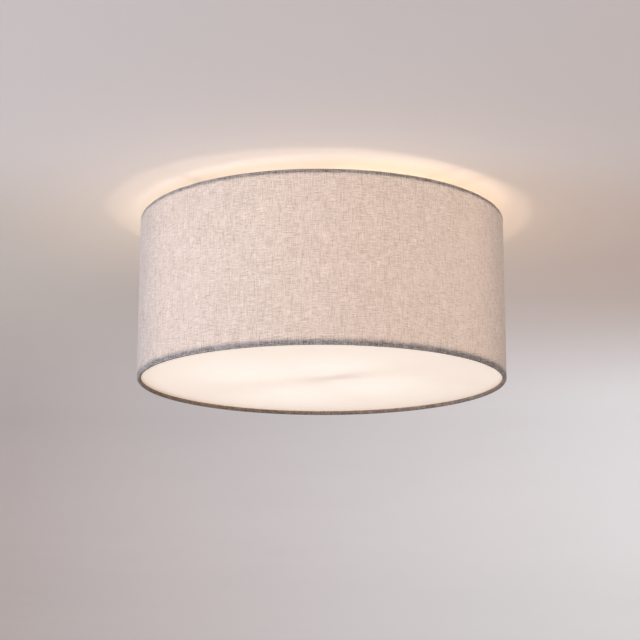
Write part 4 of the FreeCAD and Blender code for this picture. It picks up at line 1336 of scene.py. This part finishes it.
@dataclass
class Carrier(Assembly):
    """The plate and four arms that hold the shade, with the weld beads that join them."""

    azimuths: Tuple[float, ...] = (45.0, 135.0, 225.0, 315.0)
    arms: Tuple[str, ...] = ("spider_arm_1", "spider_arm_2", "spider_arm_3", "spider_arm_4")
    hoop_weld_at: Point = (196.2 * MM, -12.3 * MM)
    hoop_weld: Triple = (1.1 * MM, 2.5 * MM, 2.1 * MM)
    plate_weld_at: Point = (14 * MM, -27.2 * MM)
    plate_weld: Triple = (3.6 * MM, 2.4 * MM, 0.75 * MM)
    edge: float = 0.3 * MM

    def build(self) -> None:
        """Makes the weld beads."""
        for azimuth in self.azimuths:
            self.weld(f"hoop_weld_{azimuth:.0f}", self.hoop_weld_at, azimuth, self.hoop_weld)
            self.weld(f"plate_weld_{azimuth:.0f}", self.plate_weld_at, azimuth, self.plate_weld)

    def weld(self, name: str, at: Point, azimuth: float, half: Triple) -> None:
        """Makes one lumpy bead.

        Args:
            name: the piece's name.
            at: its distance from the axis and its height.
            azimuth: its angle about Z in degrees.
            half: half sizes along, across and up.
        """
        bm = bmesh.new()
        bmesh.ops.create_icosphere(bm, subdivisions=3, radius=1.0)
        for vert in bm.verts:
            x, y, z = vert.co
            lump = 1 + 0.10 * math.sin(9 * x + 5 * y) + 0.06 * math.sin(13 * z + 3 * x)
            vert.co = lump * Vector((x * half[0], y * half[1], z * half[2]))
        for face in bm.faces:
            face.smooth = True
        turn = math.radians(azimuth)
        place = Vector((at[0] * math.cos(turn), at[0] * math.sin(turn), at[1]))
        bm.transform(Matrix.Translation(place) @ Matrix.Rotation(turn, 4, "Z"))
        piece = put(name, mesh_of(name, bm), self.looks.white)
        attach(piece, "fixture")
        self.report(name)

    def dress(self) -> None:
        """Coats the plate and the arms."""
        self.coat(self.looks.white, "spider_plate", *self.arms)
        self.soften(self.edge, "spider_plate")


@dataclass
class CeilingSet(Assembly):
    """Bracket, studs, canopy, knurled nuts and the earth point."""

    washers: Tuple[str, ...] = ("stud_washer_left", "stud_washer_right")
    edge: float = 0.25 * MM

    def dress(self) -> None:
        """Gives every node of the set its finish."""
        self.coat(self.looks.zinc, "ceiling_bracket", "earth_screw")
        self.coat(self.looks.stud, "bracket_studs")
        self.coat(self.looks.canopy, "canopy")
        self.coat(self.looks.nickel, "knurled_nut_left", "knurled_nut_right", *self.washers)
        self.coat(self.looks.brass, "earth_lug")
        self.soften(self.edge, "ceiling_bracket", "canopy", "earth_screw", "earth_lug", *self.washers)


@dataclass
class StemSet(Assembly):
    """Threaded tube, its nuts and washer, the bushing, and the hub that it carries."""

    steel: Tuple[str, ...] = ("stem_nuts", "stem_lock_washer", "hub_strap", "nipple_nuts")
    hub: Tuple[str, ...] = ("hub_body", "hub_cover")
    edge: float = 0.3 * MM

    def dress(self) -> None:
        """Gives every node of the set its finish."""
        self.coat(self.looks.tube, "stem_tube")
        self.coat(self.looks.zinc, *self.steel)
        self.coat(self.looks.nylon, "stem_bushing")
        self.coat(self.looks.white, *self.hub)
        self.coat(self.looks.nickel, "hub_cover_screw")
        self.soften(self.edge, *self.steel, *self.hub, "hub_cover_screw", "stem_bushing")


@dataclass
class Lampholder(Assembly):
    """One holder: nipple, dome, skirt, contact base, screw shell and centre contact."""

    end: End
    edge: float = 0.35 * MM

    def dress(self) -> None:
        """Gives every node of the holder its finish."""
        e = self.end.letter
        self.coat(self.looks.plastic, f"holder_dome_{e}", f"holder_skirt_{e}")
        self.coat(self.looks.ceramic, f"holder_base_{e}")
        self.coat(self.looks.shell, f"holder_shell_{e}")
        self.coat(self.looks.brass, f"holder_contact_{e}")
        self.coat(self.looks.zinc, f"holder_nipple_{e}")
        self.soften(self.edge, f"holder_dome_{e}", f"holder_skirt_{e}", f"holder_base_{e}")


@dataclass
class Bulb(Assembly):
    """One lamp: eyelet, insulator, rolled cap with a true thread, housing and lit globe.

    Distances along the lamp are measured from the middle of the lamp axis.
    """

    end: End
    drop: float = 87 * MM
    crest: float = 13.05 * MM
    root: float = 12.15 * MM
    wall: float = 0.6 * MM
    mouth: float = 9.5 * MM
    bevel: Point = (0.1 * MM, 0.25 * MM)
    lip: float = 1.0 * MM
    pitch: float = 3.629 * MM
    turns: int = 5
    fade: float = 0.6
    steps: int = 96
    thread_start: float = 55.30725 * MM
    glass_end: float = 54.4 * MM
    cap_end: float = 75.0 * MM
    globe_start: float = 109.0 * MM
    globe_length: float = 49.6 * MM

    def helix(self, angle: float, radius: float, height: float) -> Point:
        """Gives the thread's points their radius, fading in and out at its ends.

        Args:
            angle: angle of the point.
            radius: its radius, or -1 for a point of the thread.
            height: its distance along the lamp.

        Returns:
            The point's radius and its distance along the lamp.
        """
        if radius > 0:
            return radius, height
        into = height - self.thread_start
        left = self.turns * self.pitch - into
        fade = min(1.0, into / (self.fade * self.pitch), left / (self.fade * self.pitch))
        wave = 0.5 - 0.5 * math.cos(FULL_TURN * (into / self.pitch - angle / FULL_TURN))
        return self.root + (self.crest - self.root) * wave * max(0.0, fade), height

    def build(self) -> None:
        """Makes the rolled cap with its helical thread."""
        e = self.end.letter
        name = f"rolled_cap_{e}"
        inner, root, start = self.root - self.wall, self.root, self.thread_start
        rows = [(inner, self.glass_end), (self.mouth, self.glass_end),
                (root - self.bevel[0], start - self.bevel[1])]
        rows += [(-1.0, start + self.turns * self.pitch * i / self.steps) for i in range(self.steps + 1)]
        rows += [(root, self.cap_end - self.lip), (root, self.cap_end), (inner, self.cap_end)]
        mesh = turned(name, rows, self.steps, shape=self.helix)
        mesh.transform(Matrix.Translation((0, 0, -self.drop)) @ Matrix.Rotation(self.end.azimuth, 4, "Z")
                       @ Matrix.Rotation(math.pi / 2, 4, "Y"))
        piece = put(name, mesh, self.looks.cap)
        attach(piece, f"bulb_{e}")
        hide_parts(f"bulb_{e}_cap")
        self.report(name)

    def dress(self) -> None:
        """Gives every node of the bulb its finish."""
        e = self.end.letter
        self.coat(self.looks.nickel, f"bulb_{e}_eyelet")
        self.coat(self.looks.glass, f"bulb_{e}_insulator")
        self.coat(self.looks.housing, f"bulb_{e}_housing")
        lit = self.looks.made(f"lit_globe_{e}", GlobeFinish(self.globe_start, self.globe_length))
        self.coat(lit, f"bulb_{e}_globe")


@dataclass
class Wiring(Assembly):
    """Terminal block, its inserts and screws, and the five leads."""

    edge: float = 0.4 * MM

    def dress(self) -> None:
        """Gives every node of the wiring its finish."""
        self.coat(self.looks.nylon, "terminal_block")
        self.coat(self.looks.brass, "terminal_inserts")
        self.coat(self.looks.zinc, "terminal_screws")
        self.coat(self.looks.live, "live_leads")
        self.coat(self.looks.neutral, "neutral_leads")
        self.coat(self.looks.earth, "earth_lead")
        self.soften(self.edge, "terminal_block")


# ------------------------------------------------------------------------------------------ studio
@dataclass(frozen=True)
class Softbox:
    """A soft square lamp of the studio that looks at the drum and that the camera doesn't see."""

    name: str
    at: Triple
    size: float
    power: float
    colour: Colour

    def build(self) -> None:
        """Makes the lamp."""
        data = bpy.data.lights.new(self.name, "AREA")
        data.size, data.energy, data.color = self.size, self.power, self.colour
        lamp = put(self.name, data)
        lamp.location = self.at
        lamp.rotation_euler = (Vector((0, 0, -0.1)) - Vector(self.at)).to_track_quat("-Z", "Y").to_euler()
        lamp.visible_camera = False


@dataclass(frozen=True)
class CeilingPaint:
    """Matt ceiling paint with painted shading and painted light, which change with slope and side in the
    picture.

    Slope is the ceiling's height over the camera per distance from it: high near the picture's top.
    """

    camera_at: Triple
    colour: Colour = (0.43, 0.400, 0.395)
    own: Colour = (0.278, 0.250, 0.244)
    # painted light: colour of the warm glow round the drum
    glow: Colour = (0.185, 0.132, 0.076)
    side_limit: float = 0.18
    # painted light and shade on the ceiling, each a pair for the left and the right side
    high: Tuple[Colour, Colour] = ((1.00, 1.01, 1.04), (0.95, 0.935, 0.935))
    band: Tuple[Colour, Colour] = ((0.885, 0.87, 0.835), (0.96, 0.88, 0.83))
    low: Tuple[Colour, Colour] = ((0.86, 0.83, 0.83), (1.52, 1.62, 1.67))
    far: Tuple[Colour, Colour] = ((1.46, 1.46, 1.46), (1.27, 1.27, 1.27))
    band_slopes: Span = (0.345, 0.285)
    low_slopes: Span = (0.252, 0.178)
    far_slopes: Span = (0.173, 0.057)
    drum_radius: float = 200 * MM
    glow_fall: float = -9.0
    # painted shade: where and how far the ceiling's own light is lowered above the drum
    behind_drum: Span = (180 * MM, 210 * MM)
    behind_share: float = 0.35

    def make(self) -> bpy.types.Material:
        """Builds the paint, seen from below only: from above the sheet lets everything through.

        Returns:
            The material.
        """
        material = bpy.data.materials.new("ceiling_paint")
        material.use_nodes = True
        material.node_tree.nodes.clear()
        g = Graph(material.node_tree)
        place = g.object_place()
        x, y, _ = g.split(place)
        shade = self.shade(g, place, x, y)
        radius = g.radius(x, y)
        # painted light: a warm glow on the ceiling that fades away from the drum's rim
        outside = g.math("SUBTRACT", g.math("MAXIMUM", radius, self.drum_radius), self.drum_radius)
        glow = g.tint(self.glow, g.math("EXPONENT", g.times(outside, self.glow_fall)))
        # the ceiling's own light carries the painted shading, and painted shade lowers it above the drum
        own = g.tint(g.tint(self.own, shade), g.ramp(radius, *self.behind_drum, self.behind_share, 1.0))
        paint = g.add("ShaderNodeBsdfPrincipled")
        paint.inputs["Roughness"].default_value = 0.9
        paint.inputs["Specular IOR Level"].default_value = 0.1
        g.feed(paint.inputs["Base Color"], g.tint(self.colour, shade))
        g.feed(paint.inputs["Emission Color"], g.plus(own, glow))
        paint.inputs["Emission Strength"].default_value = 1.0
        above = g.add("ShaderNodeNewGeometry").outputs["Backfacing"]
        g.either("ShaderNodeOutputMaterial", above, paint, g.add("ShaderNodeBsdfTransparent"))
        return material

    def shade(self, g: Graph, place: Socket, x: Socket, y: Socket) -> Socket:
        """The painted light and shade over the picture, as a factor of the paint's colour: a painted shadow
        band below the top, painted shade lower down on the left, and painted light lower down on the right
        and far off.

        Args:
            g: the material's graph.
            place: the point on the ceiling.
            x: its place across.
            y: its place in depth.

        Returns:
            The factor's socket.
        """
        depth = g.math("SUBTRACT", y, self.camera_at[1])
        slope = g.math("DIVIDE", -self.camera_at[2], depth)
        side = g.ramp(g.math("DIVIDE", x, depth), -self.side_limit, self.side_limit, smooth=False)
        high, band, low, far = (g.blend(side, *ends) for ends in (self.high, self.band, self.low, self.far))
        # painted shadow band, then painted light and shade lower down and far off
        shade = g.blend(g.ramp(slope, *self.band_slopes), high, band)
        shade = g.blend(g.ramp(slope, *self.low_slopes), shade, low)
        shade = g.tint(shade, g.blend(g.ramp(slope, *self.far_slopes, smooth=False), PLAIN, far))
        return g.tint(shade, g.math("MULTIPLY_ADD", g.noise(place, scale=2.2), 0.05, 0.975))


@dataclass
class Studio:
    """Ceiling sheet, floor, lamps, world and the camera that took the photograph."""

    camera_at: Triple = (0.0, -1.8474, -0.5493)
    pitch_deg: float = 13.108
    yaw: float = 0.0007
    roll: float = -0.0014
    lens: float = 97.35
    sensor: float = 36.0
    view_end: float = 60.0
    floor_z: float = -2.6
    ceiling_z: float = 0.6 * MM
    floor_tints: Tuple[Colour, Colour] = ((0.62, 0.60, 0.59), (0.70, 0.68, 0.67))
    floor_seen: Colour = (0.35, 0.35, 0.35)
    floor_glow: float = 0.88
    soft_world: Colour = (1.0, 0.97, 0.95)
    soft_power: float = 0.14
    plain_world: Colour = (0.66, 0.62, 0.61)
    halo_colour: Colour = (1.0, 0.76, 0.53)
    near_colour: Colour = (0.80, 0.90, 0.97)
    far_power: float = 1.50
    near_power: float = 0.66
    back_share: float = 0.45
    inside_power: float = 0.045
    globe_radius: float = 30.5 * MM
    core_radius: float = 19 * MM
    core_drop: float = 95 * MM
    lamp_reach: float = 128.6 * MM
    lamp_drop: float = 87 * MM
    softboxes: Tuple[Softbox, ...] = (
        Softbox("window_light", (-3.3, -0.95, -1.1), 2.2, 68.0, (0.77, 0.88, 1.0)),
        Softbox("room_light", (0.6, -3.3, -1.6), 1.8, 32.0, (1.0, 0.93, 0.85)))

    def camera(self) -> None:
        """Makes the camera."""
        data = bpy.data.cameras.new("photo_camera")
        data.lens, data.sensor_width, data.clip_end = self.lens, self.sensor, self.view_end
        view = put("photo_camera", data)
        view.location = self.camera_at
        view.rotation_euler = Euler((math.radians(90 + self.pitch_deg), self.roll, self.yaw), "XYZ")
        bpy.context.scene.camera = view

    def flat_sheet(self, name: str, corners: Sequence[Point], z: float,
                   material: bpy.types.Material) -> bpy.types.Object:
        """Makes one flat stage sheet.

        Args:
            name: its name.
            corners: its four corners, in order.
            z: its height.
            material: its finish.

        Returns:
            The sheet's object.
        """
        mesh = bpy.data.meshes.new(name)
        mesh.from_pydata([(x, y, z) for x, y in corners], [], [(0, 1, 2, 3)])
        piece = put(name, mesh, material)
        return piece

    def floor_material(self) -> bpy.types.Material:
        """Plain pale floor, which the camera sees partly by its own light so that no lamp whitens it.

        Returns:
            The material.
        """
        material = bpy.data.materials.new("pale_floor")
        material.use_nodes = True
        shader = material.node_tree.nodes["Principled BSDF"]
        g = Graph(material.node_tree)
        pale = g.blend(g.noise(g.object_place(), scale=1.4), *self.floor_tints)
        seen = g.add("ShaderNodeLightPath").outputs["Is Camera Ray"]
        g.feed(shader.inputs["Base Color"], g.tint(pale, g.blend(seen, PLAIN, self.floor_seen)))
        g.feed(shader.inputs["Emission Color"], pale)
        g.feed(shader.inputs["Emission Strength"], g.times(seen, self.floor_glow))
        shader.inputs["Roughness"].default_value = 0.8
        return material

    def world(self) -> None:
        """Pale surroundings: soft light for the object, a plain background for eye and reflections."""
        world = bpy.data.worlds.new("pale_room")
        bpy.context.scene.world = world
        world.use_nodes = True
        world.node_tree.nodes.clear()
        g = Graph(world.node_tree)
        rays = g.add("ShaderNodeLightPath").outputs
        seen = g.math("MAXIMUM", rays["Is Camera Ray"],
                      g.math("MAXIMUM", rays["Is Glossy Ray"], rays["Is Transmission Ray"]))
        soft, plain = g.add("ShaderNodeBackground"), g.add("ShaderNodeBackground")
        g.feed_all(soft.inputs, (self.soft_world, self.soft_power))
        g.feed_all(plain.inputs, (self.plain_world, 1.0))
        g.either("ShaderNodeOutputWorld", seen, soft, plain)

    def lamp(self, name: str, kind: LampKind, end: End, power: float) -> bpy.types.Object:
        """Makes a soft lamp at one bulb's globe.

        Args:
            name: its name.
            kind: disc or ball.
            end: which bulb.
            power: watts.

        Returns:
            The lamp's object.
        """
        data = bpy.data.lights.new(f"{name}_{end.letter}", kind.value)
        data.energy = power
        if kind is LampKind.DISC:
            data.shape, data.size, data.color = "DISK", 2 * self.core_radius, self.halo_colour
            drop = self.core_drop
        else:
            data.shadow_soft_size, data.color = self.globe_radius, self.near_colour
            drop = self.lamp_drop
        lamp = put(f"{name}_{end.letter}", data)
        across = end.value * self.lamp_reach * DIAGONAL
        lamp.location = (across, across, -drop)
        lamp.rotation_euler = Vector((-across, -across, 0.0)).to_track_quat("-Z", "Y").to_euler()
        return lamp

    def halo(self, ceiling: bpy.types.Object, rims: Sequence[bpy.types.Object]) -> None:
        """Lights the ceiling past the drum's rim and, weakly, the inside of the drum.

        Args:
            ceiling: the ceiling's sheet, which the halo's lamps light alone.
            rims: what throws a shadow in that light.
        """
        receivers = bpy.data.collections.new("halo_receivers")
        receivers.objects.link(ceiling)
        blockers = bpy.data.collections.new("halo_blockers")
        for piece in rims:
            blockers.objects.link(piece)
        for end in End:
            share = self.back_share if end is End.A else 1.0
            for lamp in (self.lamp("far_halo", LampKind.DISC, end, self.far_power),
                         self.lamp("near_halo", LampKind.BALL, end, self.near_power * share)):
                lamp.light_linking.receiver_collection = receivers
                lamp.light_linking.blocker_collection = blockers
            self.lamp("inside", LampKind.BALL, end, self.inside_power)

    def build(self, rims: Sequence[bpy.types.Object]) -> None:
        """Makes the whole studio.

        Args:
            rims: the pieces whose shadows shape the halo on the ceiling.
        """
        self.camera()
        ceiling = self.flat_sheet("ceiling_sheet", [(-9, -5), (-9, 16), (9, 16), (9, -5)], self.ceiling_z,
                                  CeilingPaint(self.camera_at).make())
        self.flat_sheet("floor_sheet", [(-4, -5), (4, -5), (4, 4), (-4, 4)], self.floor_z,
                        self.floor_material())
        self.world()
        for softbox in self.softboxes:
            softbox.build()
        self.halo(ceiling, rims)
        LOG.info("Studio: ceiling, floor, lamps, camera")


def main() -> None:
    """Builds and dresses the light, piece by piece, and then the studio round it."""
    logging.basicConfig(level=logging.INFO, format="%(message)s")
    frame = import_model()
    nodes = frame["nodes"]
    looks = Palette()
    shade = Shade(nodes, looks)
    shade.build()
    shade.dress()
    Diffuser(nodes, looks).dress()
    carrier = Carrier(nodes, looks)
    carrier.build()
    carrier.dress()
    CeilingSet(nodes, looks).dress()
    StemSet(nodes, looks).dress()
    for end in End:
        Lampholder(nodes, looks, end).dress()
        bulb = Bulb(nodes, looks, end)
        bulb.build()
        bulb.dress()
    Wiring(nodes, looks).dress()
    Studio().build([shade.cloth, *(nodes[name] for name in ("top_hoop", *carrier.arms))])
    bpy.context.scene.view_settings.view_transform = "Standard"
    bpy.context.view_layer.update()


if __name__ == "__main__":
    main()
